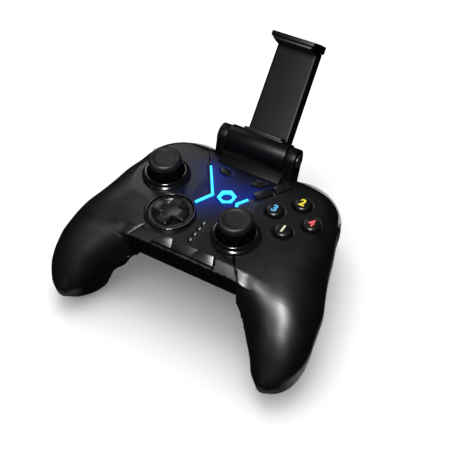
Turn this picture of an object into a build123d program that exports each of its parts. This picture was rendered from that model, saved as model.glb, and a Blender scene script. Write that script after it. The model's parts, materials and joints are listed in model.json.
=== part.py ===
from build123d import *
import math
import os

# Mobile game controller with a folding phone holder.
# Millimetres. The face of the body is the plane z = 0 of the face frame, X to the player's
# right, Y away from the player. The last step sets the whole controller down on its grip
# tips and the foot of its belly, with the origin at the centre of its base.

# Body
body_width = 164.6
body_depth = 113.0
rear_y = 37.5
front_y = -46.5
wall = 2.4
grip_drop = 44.0
grip_crown = 20.5
grip_belly = 20.0
bridge_depth = 30.0
bridge_blend_x = 20.0
front_depth = 21.5
front_lean = 4.0
front_rise = 8.0
front_fall = 6.4
front_slope_share = 0.6
front_bevel = 4.5
centre_drop = 0.8
seam = 0.3
crease_step = 0.05
belly_half_width = 23.0
stand_angle = 7.4

# Shares of the body's sizes at the stations from the rear edge to the front wall
body_station_shares = (0.0, 0.05, 0.12, 0.22, 0.34, 0.46, 0.58, 0.70, 0.82, 0.93, 1.0)
body_outer_shares = (
    0.5443, 0.6386, 0.7213, 0.7786, 0.8087, 0.8476, 0.8787, 0.9196, 0.9643, 0.9827, 0.9915)
body_ridge_x_shares = (
    0.3499, 0.4277, 0.4763, 0.5006, 0.5152, 0.5346, 0.5589, 0.5881, 0.6318, 0.6707, 0.6926)
body_waist_shares = (0.2, 0.214, 0.232, 0.255, 0.286, 0.327, 0.397, 0.474, 0.55, 0.625, 0.682)
body_crown_shares = (0.195, 0.4, 0.546, 0.644, 0.712, 0.8, 0.9, 1.0, 1.084, 1.148, 1.172)
body_belly_shares = (0.65, 0.85, 0.96, 1.0, 1.0, 0.975, 0.93, 0.84, 0.72, 0.61, 0.585)
body_bridge_shares = (0.73, 0.87, 0.97, 1.0, 1.0, 1.0, 0.99, 0.97, 0.94, 0.893, 0.873)
body_face_shares = (1.05, 0.36, -0.05, -0.07, -0.07, -0.07, -0.07, -0.07, -0.07, -0.04, 1.0)

# Shares at the stations from the front wall to the tip of a grip
grip_station_shares = (0.0, 0.15, 0.32, 0.50, 0.66, 0.80, 0.91, 1.0)
grip_outer_shares = (0.9915, 1.0, 0.9993, 0.9886, 0.9682, 0.9361, 0.8991, 0.8476)
grip_ridge_x_shares = (0.6926, 0.729, 0.7592, 0.7835, 0.8019, 0.8078, 0.8078, 0.8019)
grip_inner_shares = (0.418, 0.4938, 0.5638, 0.6173, 0.6571, 0.6902, 0.7339, 0.7679)
grip_waist_shares = (0.682, 0.732, 0.797, 0.835, 0.869, 0.911, 0.942, 0.965)
grip_crown_shares = (1.172, 1.131, 1.066, 0.905, 0.704, 0.51, 0.34, 0.19)
grip_belly_shares = (0.585, 0.64, 0.79, 0.9, 0.8, 0.6, 0.38, 0.2)
outer_fullness = 2.1
inner_fullness_shares = (1.0, 0.85, 0.72, 0.62, 0.56, 0.52, 0.50, 0.49)
inner_fullness = 4.5

# Controls on the face
left_stick_x = -40.0
left_stick_y = 0.7
right_stick_x = 20.1
right_stick_y = -21.6
pad_x = -20.75
pad_y = -24.05
cluster_x = 40.9
cluster_y = 5.3
cluster_radius = 11.5
strip_knee_x = 8.05
strip_top_x = 21.7
strip_top_y = 20.0
strip_foot_x = 13.4
strip_foot_y = -10.0
strip_width = 1.7
strip_depth = 2.0
strip_start_x = 11.9
strip_start_y = 6.0
seam_rear_x = 33.8
seam_front_x = 34.9
seam_turn_x = 28.9
seam_turn_y = -38.5

# Sticks
stick_cap_diameter = 19.5
stick_cap_height = 5.0
stick_top = 13.5
stick_dish_depth = 1.2
stick_dish_share = 0.72
stick_dish_fall_share = 0.8
stick_brow_share = 0.9
stick_stem_radius = 3.2
stick_pivot_depth = 13.0
stick_dome_radius = 11.3
collar_diameter = 28.5
collar_rim_diameter = 24.6
collar_rim_height = 3.5
collar_rim_width = 1.1
collar_throat_radius = 8.4
collar_throat_depth = 3.6
collar_seat = 1.2
collar_spigot_radius = 12.6
board_thickness = 1.6
axle_radius = 1.1
running_gap = 0.06
part_gap = 0.3

# Direction pad
pad_cross_width = 7.4

# Round buttons
button_diameter = 9.8
button_rise = 2.5
button_flange_gap = 0.1
button_side_share = 0.62
button_brow_share = 0.9
button_brow_rise_share = 0.86
button_top_share = 0.68
button_flange = 1.2
button_flange_thickness = 1.2
button_gap = 0.3
button_travel = 1.4
mat_thickness = 1.0
mat_dome_radius = 2.6
mat_sheet_share = 1.34
mat_foot_share = 1.25
mat_crown_share = 0.8

# Small keys
key_gap = 0.25
key_rise = 0.7
key_body = 4.0
key_travel = 0.8
strip_key_length = 10.0
strip_key_width = 5.4
strip_key_inner_along = 16.7
strip_key_outer_along = 28.8
upper_key_x = 11.3
upper_key_y = 20.1
upper_key_length = 6.4
upper_key_width = 4.2
front_key_row_y = -43.2
front_key_depth = 3.9
front_key_height = 1.0
front_key_half = 20.2
front_key_slit = 0.3
front_key_far_shares = (-0.748, -0.396, 0.406, 0.891)
front_key_near_shares = (-1.0, -0.342, 0.213, 0.955)

# Lights
lamp_pitch = 4.65
lamp_first_y = -21.9
lamp_count = 4
lamp_length = 1.8
lamp_width = 1.0
lamp_depth = 2.0
mark_radius = 5.6
mark_bore = 3.4
mark_y = 2.4
mark_depth = 2.0

# Shoulder buttons
bumper_inner_x = 27.0
bumper_rear_y = 38.6
bumper_mid_x = 45.0
bumper_mid_y = 37.9
bumper_bend_x = 56.5
bumper_bend_y = 30.2
bumper_outer_x = 63.6
bumper_outer_y = 20.5
bumper_wall = 2.6
bumper_gap = 0.4
bumper_pocket = 1.9
pin_radius = 1.5
eye_radius = 3.1

# Triggers
trigger_inner_x = 33.5
trigger_width = 20.5
trigger_pivot_y = 25.0
trigger_pivot_depth = 19.6
trigger_top_depth = 14.6
trigger_wall = 2.6
trigger_hub_radius = 3.4
trigger_gap = 0.5
spring_radius = 2.5
spring_wall = 0.7

# Inside
battery_length = 38.0
battery_width = 34.0
battery_height = 6.0
motor_radius = 7.5
motor_length = 10.0
motor_y = -47.0
motor_depth = 27.0
weight_radius = 7.0
weight_length = 5.0
weight_gap = 0.8
shaft_radius = 1.0
boss_radius = 3.2
screw_radius = 1.2
screw_head_radius = 2.4
screw_head_height = 1.8
socket_width = 9.0
socket_height = 3.2
socket_length = 8.0
socket_wall = 0.4
socket_depth = 13.0

# Phone holder
hinge_y = 40.0
hinge_height = 8.5
holder_lean = 41.0
barrel_radius = 7.5
barrel_length = 38.6
arm_gap = 0.4
arm_width = 5.6
arm_radius = 6.6
foot_front_y = 25.5
foot_rear_y = 39.6
hinge_pin_radius = 2.4
hinge_head_radius = 3.9
hinge_head_height = 1.3
plate_width = 27.5
plate_top_width = 26.2
plate_thickness = 8.5
plate_offset = 6.6
plate_length = 61.5
plate_round = 1.8
ledge_height = 7.5
ledge_reach = 3.6
ledge_thickness = 4.4
jaw_reach = 12.0
tongue_width = 20.0
tongue_thickness = 3.0
tongue_length = 43.0
tongue_gap = 0.2
pad_sheet = 1.2
pad_margin = 1.6

# Belly under the battery
belly_front_y = -24.0
belly_front_foot_y = -14.0
belly_rear_foot_y = 27.0
belly_rear_y = 34.0
belly_front_depth = 28.0
belly_rear_depth = 26.0
battery_floor_depth = 41.0

# Boards
board_depth = 20.4
board_half_width = 57.0
board_front_y = -14.0
board_rear_y = 20.3
board_rear_half_width = 29.0
board_tail_y = 26.2
board_tongue_half_width = 26.0
board_tongue_y = -36.6
board_post_radius = 2.5
board_post_outer_x = 44.0
board_post_outer_y = -10.0
board_post_inner_x = 27.0
board_post_inner_y = 17.0
front_board_depth = 11.6
front_board_length = 42.0
front_board_rear_y = -36.4
front_board_front_y = -41.0
front_plunger_y = -41.0
front_rib_x = 19.6
front_rib_width = 1.6
switch_size = 4.4
switch_height = 1.6
switch_gap = 0.1
plunger_radius = 1.6

# Stick modules
module_size = 13.2
module_height = 9.9
module_wall = 1.1
module_floor = 0.8
module_round = 2.0
stick_travel = 0.5
stem_radius = 1.7
stem_top = 7.0
tail_radius = 1.0
tail_length = 4.9
outer_yoke_width = 5.4
outer_yoke_height = 2.0
stem_pin_radius = 0.6
inner_yoke_width = 3.8
inner_yoke_drop = 3.8
inner_yoke_bar = 1.4
inner_yoke_arm = 1.0
yoke_slot_share = 0.72
yoke_gap = 0.6
seat_radius = 3.6
seat_height = 0.8
seat_lift = 0.6
stick_dome_inner_radius = 9.7
stick_dome_angle = 56.0

# Direction pad
pad_diameter = 25.2
pad_ring_inner_diameter = 26.4
pad_ring_diameter = 28.6
pad_ring_flange_diameter = 31.0
pad_ring_height = 1.0
pad_ring_thickness = 1.2
pad_rim_height = 0.5
pad_underside_depth = 2.6
pad_dish_depth = 1.9
pad_dish_radius = 10.6
pad_dish_floor_share = 0.8
pad_cross_height = 2.4
pad_cross_reach = 10.4
pad_scoop_radius = 16.0
pad_scoop_depth = 1.4
pad_pivot_size = 5.0
pad_pivot_height = 2.0
pad_pivot_gap = 0.35
pad_base_radius = 4.0

# Shoulder pieces
bumper_top_depth = 6.0
bumper_height = 7.8
bumper_pin_x = 28.8
bumper_pin_y = 34.0
trigger_web_depth = 15.6
trigger_rear_y = 37.6
trigger_bulge_y = 40.6
trigger_lip_y = 42.4
trigger_tip_depth = 30.4
trigger_mid_depth = 19.4
trigger_low_depth = 25.2
trigger_tip_height = 1.3
trigger_sweep = 5.4
trigger_zone_front_y = 20.8
trigger_zone_depth = 34.8
trigger_rib_width = 2.4
spring_length = 3.2
trigger_rib_length = 8.0
trigger_rib_depth = 30.0

# Motors and screws
motor_inner_x = 47.8
cradle_depth = 29.0
cradle_width = 8.0
screw_x_shares = (0.7475, 0.8141, 0.2129)
screw_y_shares = (0.0175, -0.541, 0.24)
screw_meet_shares = (0.40, 0.86, 0.36)
screw_seat_shares = (0.58, 1.06, 0.66)
screw_reach = 6.0
screw_play = 0.05

# Phone holder details
foot_side = 20.0
foot_lip = 0.6
foot_brow = 1.8
foot_brow_y = 31.5
foot_skirt_depth = 9.6
arm_front_y = 30.6
arm_front_depth = 1.4
plate_foot = 3.0
channel_start = 17.0
jaw_gap = 0.2
jaw_top = 4.8
jaw_lip_drop = 1.3
jaw_root_drop = 1.1
holder_spring_radius = 1.0
holder_spring_x = 6.0
holder_spring_length = 38.0
spring_slot = 1.4
ledge_underside = 1.6

overrun = 60.0
half_width = body_width / 2
grip_length = body_depth - rear_y + front_y
section_arc_steps = 6
crotch_x = half_width * grip_inner_shares[0]
lean_sine = math.sin(math.radians(holder_lean))
lean_cosine = math.cos(math.radians(holder_lean))


# Plain shapes

def block(x0, x1, y0, y1, z0, z1):
    """Box between two corners."""
    middle = Pos((x0 + x1) / 2, (y0 + y1) / 2, (z0 + z1) / 2)
    return middle * Box(abs(x1 - x0), abs(y1 - y0), abs(z1 - z0))


def upright(x, y, radius, z0, z1):
    """Cylinder along Z."""
    return Pos(x, y, (z0 + z1) / 2) * Cylinder(radius, abs(z1 - z0))


def crosswise(y, z, radius, x0, x1):
    """Cylinder along X."""
    return Pos((x0 + x1) / 2, y, z) * Rot(0, 90, 0) * Cylinder(radius, abs(x1 - x0))


def lengthwise(x, z, radius, y0, y1):
    """Cylinder along Y."""
    return Pos(x, (y0 + y1) / 2, z) * Rot(90, 0, 0) * Cylinder(radius, abs(y1 - y0))


def plan_slab(points, z0, z1):
    """Outline in plan, carried along Z."""
    outline = Face(Wire(Polyline(*[(x, y, z0) for x, y in points], close=True)))
    return extrude(outline, amount=z1 - z0, dir=(0, 0, 1))


def side_slab(points, x0, x1):
    """Outline in side view, as Y and Z, carried along X."""
    outline = Face(Wire(Polyline(*[(x0, y, z) for y, z in points], close=True)))
    return extrude(outline, amount=x1 - x0, dir=(1, 0, 0))


def turned(points, x, y):
    """Profile of radii and heights, turned about an upright axis."""
    outline = Face(Wire(Polyline(*[(r, 0, z) for r, z in points], close=True)))
    return Pos(x, y, 0) * revolve(outline, axis=Axis.Z)


def mirrored(shape):
    """The same piece on the other side."""
    return mirror(shape, about=Plane.YZ)


def both(shape):
    """A piece of the right side together with its twin."""
    return shape + mirrored(shape)


# Curves of the body

def signed_power(value, power):
    """A power that keeps the sign of its base."""
    return math.copysign(abs(value) ** power, value)


def quarter_points(fullness, start, end):
    """Unit points of a quarter of a superellipse, from one step to another."""
    points = []
    for k in range(start, end + 1):
        angle = math.pi / 2 * k / section_arc_steps
        across = signed_power(math.cos(angle), 2 / fullness)
        up = signed_power(math.sin(angle), 2 / fullness)
        points.append((across, up))
    return points


def body_section(k, inset):
    """Half section of the body at a station, from the middle plane out to the side and back."""
    y = rear_y - body_station_shares[k] * (rear_y - front_y)
    if k == 0:
        y -= inset
    if k == len(body_station_shares) - 1:
        y += inset
    outer = half_width * body_outer_shares[k] - inset
    ridge_x = half_width * body_ridge_x_shares[k]
    waist = -grip_drop * body_waist_shares[k]
    crown = grip_crown * body_crown_shares[k] - inset
    belly = grip_belly * body_belly_shares[k] - inset
    face = -front_bevel * body_face_shares[k] - inset
    floor = -bridge_depth * body_bridge_shares[k] + inset
    ridge = waist + crown
    keel = waist - belly
    last = section_arc_steps
    points = [(0, face), (ridge_x / 2, face + (min(ridge, face) - face) / 3)]
    for across, up in reversed(quarter_points(outer_fullness, 0, last)):
        points.append((ridge_x + (outer - ridge_x) * across, waist + crown * up))
    for across, up in quarter_points(outer_fullness, 1, last):
        points.append((ridge_x + (outer - ridge_x) * across, waist - belly * up))
    points.append((ridge_x - bridge_blend_x / 2, (keel + floor) / 2))
    points.append((ridge_x - bridge_blend_x, floor))
    curve = Spline(*[(x, y, z) for x, z in points])
    bridge = Line((ridge_x - bridge_blend_x, y, floor), (0, y, floor))
    closing = Line((0, y, floor), (0, y, face))
    return Face(Wire([curve, bridge, closing]))


def grip_section(k, inset):
    """Closed section of a grip at a station between the front wall and the tip."""
    step = crease_step if k == 0 else 0
    y = front_y - grip_station_shares[k] * grip_length
    if k in (0, len(grip_station_shares) - 1):
        y += inset
    outer = half_width * grip_outer_shares[k] - inset - step
    inner = half_width * grip_inner_shares[k] + inset + step
    ridge_x = half_width * grip_ridge_x_shares[k]
    waist = -grip_drop * grip_waist_shares[k]
    crown = grip_crown * grip_crown_shares[k] - inset - step
    belly = grip_belly * grip_belly_shares[k] - inset - step
    fullness = inner_fullness * inner_fullness_shares[k]
    last = section_arc_steps
    points = []
    for across, up in quarter_points(outer_fullness, 0, last - 1):
        points.append((ridge_x + (outer - ridge_x) * across, waist + crown * up))
    for across, up in reversed(quarter_points(fullness, 1, last)):
        points.append((ridge_x - (ridge_x - inner) * across, waist + crown * up))
    for across, up in quarter_points(fullness, 0, last - 1):
        points.append((ridge_x - (ridge_x - inner) * across, waist - belly * up))
    for across, up in reversed(quarter_points(outer_fullness, 1, last)):
        points.append((ridge_x + (outer - ridge_x) * across, waist - belly * up))
    return Face(Wire([Spline(*[(x, y, z) for x, z in points], periodic=True)]))


def front_wedge(inset):
    """What is cut away to lean the front wall back between the grips and to raise its foot."""
    foot = front_y + inset + front_lean
    lift = inset * front_slope_share
    points = [
        (front_y + inset - overrun, -front_bevel),
        (front_y + inset, -front_bevel),
        (foot, lift - front_depth),
        (foot + front_rise, lift - front_depth - front_fall),
        (foot + front_rise, -overrun),
        (front_y + inset - overrun, -overrun),
    ]
    return side_slab(points, -overrun, crotch_x + inset)


def body_half(inset, drop):
    """Right half of the body, cut flat at a drop below the face."""
    middle = loft([body_section(k, inset) for k in range(len(body_station_shares))], ruled=True)
    grip = loft([grip_section(k, inset) for k in range(len(grip_station_shares))], ruled=True)
    half = middle - front_wedge(inset) + grip
    return half & block(-overrun, 2 * overrun, -2 * overrun, 2 * overrun, -2 * overrun, -drop)


def stand_height(y):
    """Height of the plane that the controller stands on, in the face frame."""
    angle = math.radians(stand_angle)
    return (stand_level + y * math.sin(angle)) / math.cos(angle)


def belly_half():
    """Right half of the belly that holds the battery, flat where it stands."""
    points = [
        (belly_front_y, -belly_front_depth),
        (belly_front_foot_y, stand_height(belly_front_foot_y)),
        (belly_rear_foot_y, stand_height(belly_rear_foot_y)),
        (belly_rear_y, -belly_rear_depth),
    ]
    return side_slab(points, 0, belly_half_width)


def upper_space():
    """The space above the line where the upper and the lower shells part."""
    points = []
    for k in range(0, len(body_station_shares), 2):
        y = rear_y - body_station_shares[k] * (rear_y - front_y)
        points.append((y, -grip_drop * body_waist_shares[k]))
    for k in range(1, len(grip_station_shares), 2):
        y = front_y - grip_station_shares[k] * grip_length
        points.append((y, -grip_drop * grip_waist_shares[k]))
    points.insert(0, (rear_y + overrun, points[0][1]))
    points.append((points[-1][0] - overrun, points[-1][1] - overrun))
    side = -2 * overrun
    curve = Spline(*[(side, y, z) for y, z in points[1:-1]])
    lines = Polyline(
        (side, *points[-2]), (side, *points[-1]), (side, points[-1][0], overrun),
        (side, points[0][0], overrun), (side, *points[0]), (side, *points[1]),
    )
    return extrude(Face(Wire([curve, *lines.edges()])), amount=4 * overrun, dir=(1, 0, 0))


def centre_space(gap):
    """The space of the centre panel in plan, its seams drawn in by a gap."""
    right = [
        (seam_rear_x - gap, rear_y + overrun),
        (seam_rear_x - gap, rear_y),
        (strip_knee_x - gap, 0),
        (strip_foot_x - gap, strip_foot_y),
        (seam_turn_x - gap, seam_turn_y),
        (seam_front_x - gap, front_y),
    ]
    left = [(-x, y) for x, y in reversed(right)]
    return plan_slab(right + left, -overrun, overrun)


# Openings for the shoulder pieces

def bumper_line(distance, stretch):
    """Outline of the bumper in plan, moved inwards by a distance and drawn out at its ends."""
    places = [
        (bumper_inner_x, bumper_rear_y),
        (bumper_mid_x, bumper_mid_y),
        (bumper_bend_x, bumper_bend_y),
        (bumper_outer_x, bumper_outer_y),
    ]
    moved = []
    for k, (x, y) in enumerate(places):
        before = places[max(k - 1, 0)]
        after = places[min(k + 1, len(places) - 1)]
        length = math.hypot(after[0] - before[0], after[1] - before[1])
        along_x = (after[0] - before[0]) / length
        along_y = (after[1] - before[1]) / length
        pull = {0: -bumper_gap, len(places) - 1: bumper_pocket}.get(k, 0) * stretch
        moved.append((x + along_y * distance + along_x * pull, y - along_x * distance + along_y * pull))
    return moved


def bumper_band(outside, inside, z0, z1, stretch):
    """Band between two lines that follow the bumper's outline."""
    outer = bumper_line(-outside, stretch)
    inner = bumper_line(inside, stretch)
    edges = [
        Spline(*[(x, y, z0) for x, y in outer]),
        Line((*outer[-1], z0), (*inner[-1], z0)),
        Spline(*[(x, y, z0) for x, y in reversed(inner)]),
        Line((*inner[0], z0), (*outer[0], z0)),
    ]
    return extrude(Face(Wire(edges)), amount=z1 - z0, dir=(0, 0, 1))


def bumper_space():
    """Pocket that the bumper moves in."""
    top = -bumper_top_depth + bumper_gap
    bottom = -bumper_top_depth - bumper_height - bumper_gap
    band = bumper_band(bumper_wall + bumper_pocket, bumper_wall + bumper_pocket, bottom, top, 1)
    return band + upright(bumper_pin_x, bumper_pin_y, eye_radius + bumper_gap, bottom, top)


def trigger_space():
    """Opening that the trigger moves in."""
    x0 = trigger_inner_x - trigger_gap
    x1 = trigger_inner_x + trigger_width + trigger_gap
    bottom = -bumper_top_depth - bumper_height
    opening = block(x0, x1, trigger_zone_front_y, rear_y + overrun, -trigger_zone_depth, bottom)
    mouth = block(x0, x1, trigger_pivot_y, rear_y + overrun, -overrun, bottom)
    return opening + mouth


# Shells

def screw_places():
    """Place, meeting height and seat height of each case screw on the right side."""
    for k in range(len(screw_x_shares)):
        x = half_width * screw_x_shares[k]
        y = body_depth * screw_y_shares[k]
        yield x, y, -grip_drop * screw_meet_shares[k], -grip_drop * screw_seat_shares[k]


def face_holes():
    """Openings through the face for the sticks, the pad, the buttons and the keys."""
    top = collar_rim_height
    bottom = -wall - part_gap
    spigot_end = -collar_throat_depth - collar_seat - part_gap
    holes = upright(left_stick_x, left_stick_y, collar_spigot_radius, spigot_end, top)
    holes += upright(right_stick_x, right_stick_y, collar_spigot_radius, spigot_end, top)
    holes += upright(pad_x, pad_y, pad_ring_diameter / 2, bottom, top)
    holes += upright(
        pad_x, pad_y, pad_ring_flange_diameter / 2 + part_gap, -wall - pad_ring_thickness - part_gap, -wall)
    flange = button_diameter / 2 + button_flange + button_gap
    for x, y in cluster_places():
        holes += upright(x, y, button_diameter / 2 + button_gap, bottom, top)
        holes += upright(x, y, flange, -2 * wall - button_travel, -wall)
    for outline in key_outlines(key_gap):
        holes += plan_slab(outline, -2 * wall - front_bevel, top)
    holes += light_channel(strip_width / 2 + running_gap, top)
    holes += plan_slab(mark_outline(mark_radius + running_gap), -mark_depth, top)
    for x, y in lamp_places():
        holes += lamp(x, y, running_gap, -lamp_depth, top)
    return holes


def side_panel():
    """Upper shell over the right side, before the openings in the face."""
    shell = (outer_half & upper) - inner_half - centre_space(-seam / 2)
    for x, y, meet, seat in screw_places():
        boss = upright(x, y, boss_radius, meet, -wall / 2)
        hole = upright(x, y, screw_radius + screw_play, meet, meet + screw_reach)
        if abs(x) > strip_knee_x + (seam_rear_x - strip_knee_x) * max(y, 0) / rear_y:
            shell = shell + (boss & outer_half) - hole
    return shell - bumper_space()


def centre_panel():
    """Middle of the face with the front wall, before the openings in the face."""
    half = body_half(0, centre_drop)
    shell = (half & upper) - inner_half - bumper_space()
    for x, y, meet, seat in screw_places():
        if abs(x) < strip_knee_x + (seam_rear_x - strip_knee_x) * max(y, 0) / rear_y:
            shell += upright(x, y, boss_radius, meet, -wall + centre_drop / 2)
            shell -= upright(x, y, screw_radius + screw_play, meet, meet + screw_reach)
    rib = block(
        front_rib_x, front_rib_x + front_rib_width, front_board_front_y, front_board_rear_y,
        -front_board_depth, -front_bevel)
    shell += rib & half
    return both(shell & centre_space(seam / 2))


def rear_shell():
    """Lower casing with the backs of both grips."""
    shell = (outer_half + belly_half()) - upper - inner_half
    shell -= block(
        0, battery_length / 2 + part_gap, -battery_width / 2 + battery_y - part_gap,
        battery_width / 2 + battery_y + part_gap, -battery_floor_depth, -belly_rear_depth)
    shell -= bumper_space() + trigger_space()
    for x, y, meet, seat in screw_places():
        shell += upright(x, y, boss_radius, seat - wall, meet) & outer_half
        shell -= upright(x, y, screw_radius + screw_play, -overrun, meet)
        shell -= upright(x, y, screw_head_radius + screw_play, -overrun, seat)
    board_base = -board_depth - board_thickness
    for x, y in ((board_post_outer_x, board_post_outer_y), (board_post_inner_x, board_post_inner_y)):
        shell += upright(x, y, board_post_radius, -overrun, board_base) & outer_half
    shell += trigger_ribs() & outer_half
    shell += bumper_post()
    shell += motor_cradle() & outer_half
    shell -= weight_space() + lengthwise_motor(motor_radius + running_gap) + trigger_pin()
    shell += block(
        0, socket_width / 2, rear_y - socket_length, rear_y - wall / 2,
        -bridge_depth * body_bridge_shares[1] + wall / 2, socket_base)
    whole = both(shell)
    return whole - socket_outline(running_gap, rear_y - socket_length, rear_y + overrun)


def trigger_ribs():
    """Two ribs that hold the trigger's pin."""
    x0 = trigger_inner_x - trigger_gap
    x1 = trigger_inner_x + trigger_width + trigger_gap
    ribs = block(
        x0 - trigger_rib_width, x0, trigger_pivot_y - trigger_rib_length / 2,
        trigger_pivot_y + trigger_rib_length / 2, -trigger_rib_depth, -trigger_web_depth)
    ribs += block(
        x1, x1 + trigger_rib_width, trigger_pivot_y - trigger_rib_length / 2,
        trigger_pivot_y + trigger_rib_length / 2, -trigger_rib_depth, -trigger_web_depth)
    return ribs - crosswise(trigger_pivot_y, -trigger_pivot_depth, pin_radius, 0, overrun * 2)


def bumper_post():
    """Post with the pin that the bumper turns on."""
    base = -bumper_top_depth - bumper_height - bumper_gap
    post = upright(bumper_pin_x, bumper_pin_y, eye_radius, -bridge_depth, base)
    pin = upright(bumper_pin_x, bumper_pin_y, pin_radius, base, -bumper_top_depth)
    return (post & outer_half) + pin


def motor_cradle():
    """Cradle under the vibration motor."""
    seat = block(
        motor_inner_x, motor_inner_x + motor_length, motor_y - cradle_width / 2,
        motor_y + cradle_width / 2, -overrun, -cradle_depth)
    return seat - lengthwise_motor(motor_radius)


def lengthwise_motor(radius):
    """Cylinder on the axis of the vibration motor."""
    return crosswise(motor_y, -motor_depth, radius, motor_inner_x, motor_inner_x + motor_length)


def weight_space():
    """Room for the turning weight."""
    start = motor_inner_x + motor_length
    end = start + weight_gap + weight_length
    return crosswise(motor_y, -motor_depth, weight_radius + part_gap, start, end)


def socket_outline(gap, y0, y1):
    """Rounded slot of the charging socket, along Y."""
    half = socket_height / 2 + gap
    reach = socket_width / 2 - socket_height / 2
    slot = block(-reach, reach, y0, y1, -socket_depth - half, -socket_depth + half)
    slot += lengthwise(-reach, -socket_depth, half, y0, y1)
    slot += lengthwise(reach, -socket_depth, half, y0, y1)
    return slot


# Places and outlines on the face

def cluster_places():
    """Centres of the four round buttons: near, far, inner and outer."""
    return [
        (cluster_x, cluster_y - cluster_radius),
        (cluster_x, cluster_y + cluster_radius),
        (cluster_x - cluster_radius, cluster_y),
        (cluster_x + cluster_radius, cluster_y),
    ]


def lamp_places():
    """Centres of the small lamps below the middle of the face."""
    return [(0, lamp_first_y - lamp_pitch * k) for k in range(lamp_count)]


def lamp(x, y, gap, z0, z1):
    """Small lamp with rounded ends, along Y."""
    reach = (lamp_length - lamp_width) / 2
    body = block(x - lamp_width / 2 - gap, x + lamp_width / 2 + gap, y - reach, y + reach, z0, z1)
    body += upright(x, y - reach, lamp_width / 2 + gap, z0, z1)
    return body + upright(x, y + reach, lamp_width / 2 + gap, z0, z1)


def indicator_lamps():
    """The small lamps below the middle of the face."""
    lamps = None
    for x, y in lamp_places():
        body = lamp(x, y, 0, -lamp_depth, -centre_drop / 2)
        lamps = body if lamps is None else lamps + body
    return lamps


def mark_outline(radius):
    """Six-sided outline of the lit lens in the middle."""
    corners = []
    for k in range(6):
        angle = math.radians(60 * k + 30)
        corners.append((radius * math.cos(angle), mark_y + radius * math.sin(angle)))
    return corners


def strip_direction():
    """Unit direction of the upper leg of the right light strip."""
    length = math.hypot(strip_top_x - strip_knee_x, strip_top_y)
    return (strip_top_x - strip_knee_x) / length, strip_top_y / length


def strip_key_outline(along, gap):
    """Outline of a key that lies along the right light strip."""
    dx, dy = strip_direction()
    half = strip_key_length / 2 + gap
    side = strip_key_width / 2 + gap
    corners = []
    for a, b in ((-half, -side), (half, -side), (half, side), (-half, side)):
        corners.append((strip_knee_x + dx * (along + a) + dy * b, dy * (along + a) - dx * b))
    return corners


def upper_key_outline(side, gap):
    """Outline of a small slanted key behind the light strips."""
    dx, dy = strip_direction()
    half = upper_key_length / 2 + gap
    deep = upper_key_width / 2 + gap
    slant = upper_key_width / 2 * dx / dy
    corners = [
        (upper_key_x - half - slant, upper_key_y - deep),
        (upper_key_x + half - slant, upper_key_y - deep),
        (upper_key_x + half + slant, upper_key_y + deep),
        (upper_key_x - half + slant, upper_key_y + deep),
    ]
    if side < 0:
        corners = [(-x, y) for x, y in reversed(corners)]
    return corners


def front_key_outlines(gap):
    """Outlines of the three keys in the front row, from left to right, side by side."""
    near = front_key_row_y - front_key_depth / 2
    far = front_key_row_y + front_key_depth / 2
    last = len(front_key_far_shares) - 1
    outlines = []
    for k in range(last):
        corners = []
        for edge, slit in ((k, 0 if k == 0 else 1), (k + 1, 0 if k + 1 == last else -1)):
            x_near = front_key_half * front_key_near_shares[edge] + slit * front_key_slit / 2
            x_far = front_key_half * front_key_far_shares[edge] + slit * front_key_slit / 2
            slope = (x_far - x_near) / (far - near)
            widen = gap * math.hypot(1, slope) * (-1 if edge == k else 1)
            corners.append((x_near - slope * gap + widen, near - gap))
            corners.append((x_far + slope * gap + widen, far + gap))
        outlines.append([corners[0], corners[2], corners[3], corners[1]])
    return outlines


def key_outlines(gap):
    """Outlines of all the small keys."""
    outlines = [
        upper_key_outline(-1, gap),
        upper_key_outline(1, gap),
        strip_key_outline(strip_key_inner_along, gap),
        strip_key_outline(strip_key_outer_along, gap),
    ]
    return outlines + front_key_outlines(gap)


# Lights

def light_channel(half, top):
    """The bent channels of both light strips, as wide as asked."""
    left = [(-strip_top_x, strip_top_y), (-strip_knee_x, 0), (-strip_foot_x, strip_foot_y)]
    right = [(strip_start_x, strip_start_y), (strip_knee_x, 0), (strip_foot_x, strip_foot_y)]
    channel = None
    for places in (left, right):
        for (x0, y0), (x1, y1) in zip(places, places[1:]):
            length = math.hypot(x1 - x0, y1 - y0)
            dx, dy = (x1 - x0) / length * half, (y1 - y0) / length * half
            corners = [(x0 - dy, y0 + dx), (x1 - dy, y1 + dx), (x1 + dy, y1 - dx), (x0 + dy, y0 - dx)]
            leg = plan_slab(corners, -strip_depth, top)
            channel = leg if channel is None else channel + leg
        channel += upright(*places[1], half, -strip_depth, top)
    return channel


def light_strips():
    """Light guides in the seams of the face."""
    strips = light_channel(strip_width / 2, -centre_drop / 4)
    for x, y, width in ((pad_x, pad_y, pad_ring_diameter), (right_stick_x, right_stick_y, collar_diameter)):
        strips -= upright(x, y, width / 2 + running_gap, -overrun, overrun)
    return strips


def centre_light():
    """Lit ring in the middle of the face."""
    return plan_slab(mark_outline(mark_radius), -mark_depth, -centre_drop / 2) - upright(
        0, mark_y, mark_bore, -overrun, overrun)


# Sticks

def stick_collar(x, y):
    """Dished rim round a stick, with a spigot in the face and a seat on it."""
    rim = collar_rim_diameter / 2
    outer = collar_diameter / 2
    profile = [
        (outer, 0),
        (outer, collar_seat),
        (rim, collar_rim_height),
        (rim - collar_rim_width, collar_rim_height),
        (collar_throat_radius, -collar_throat_depth),
        (collar_throat_radius, -collar_throat_depth - collar_seat),
        (collar_spigot_radius - running_gap, -collar_throat_depth),
        (collar_spigot_radius - running_gap, 0),
    ]
    return turned(profile, x, y)


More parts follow.
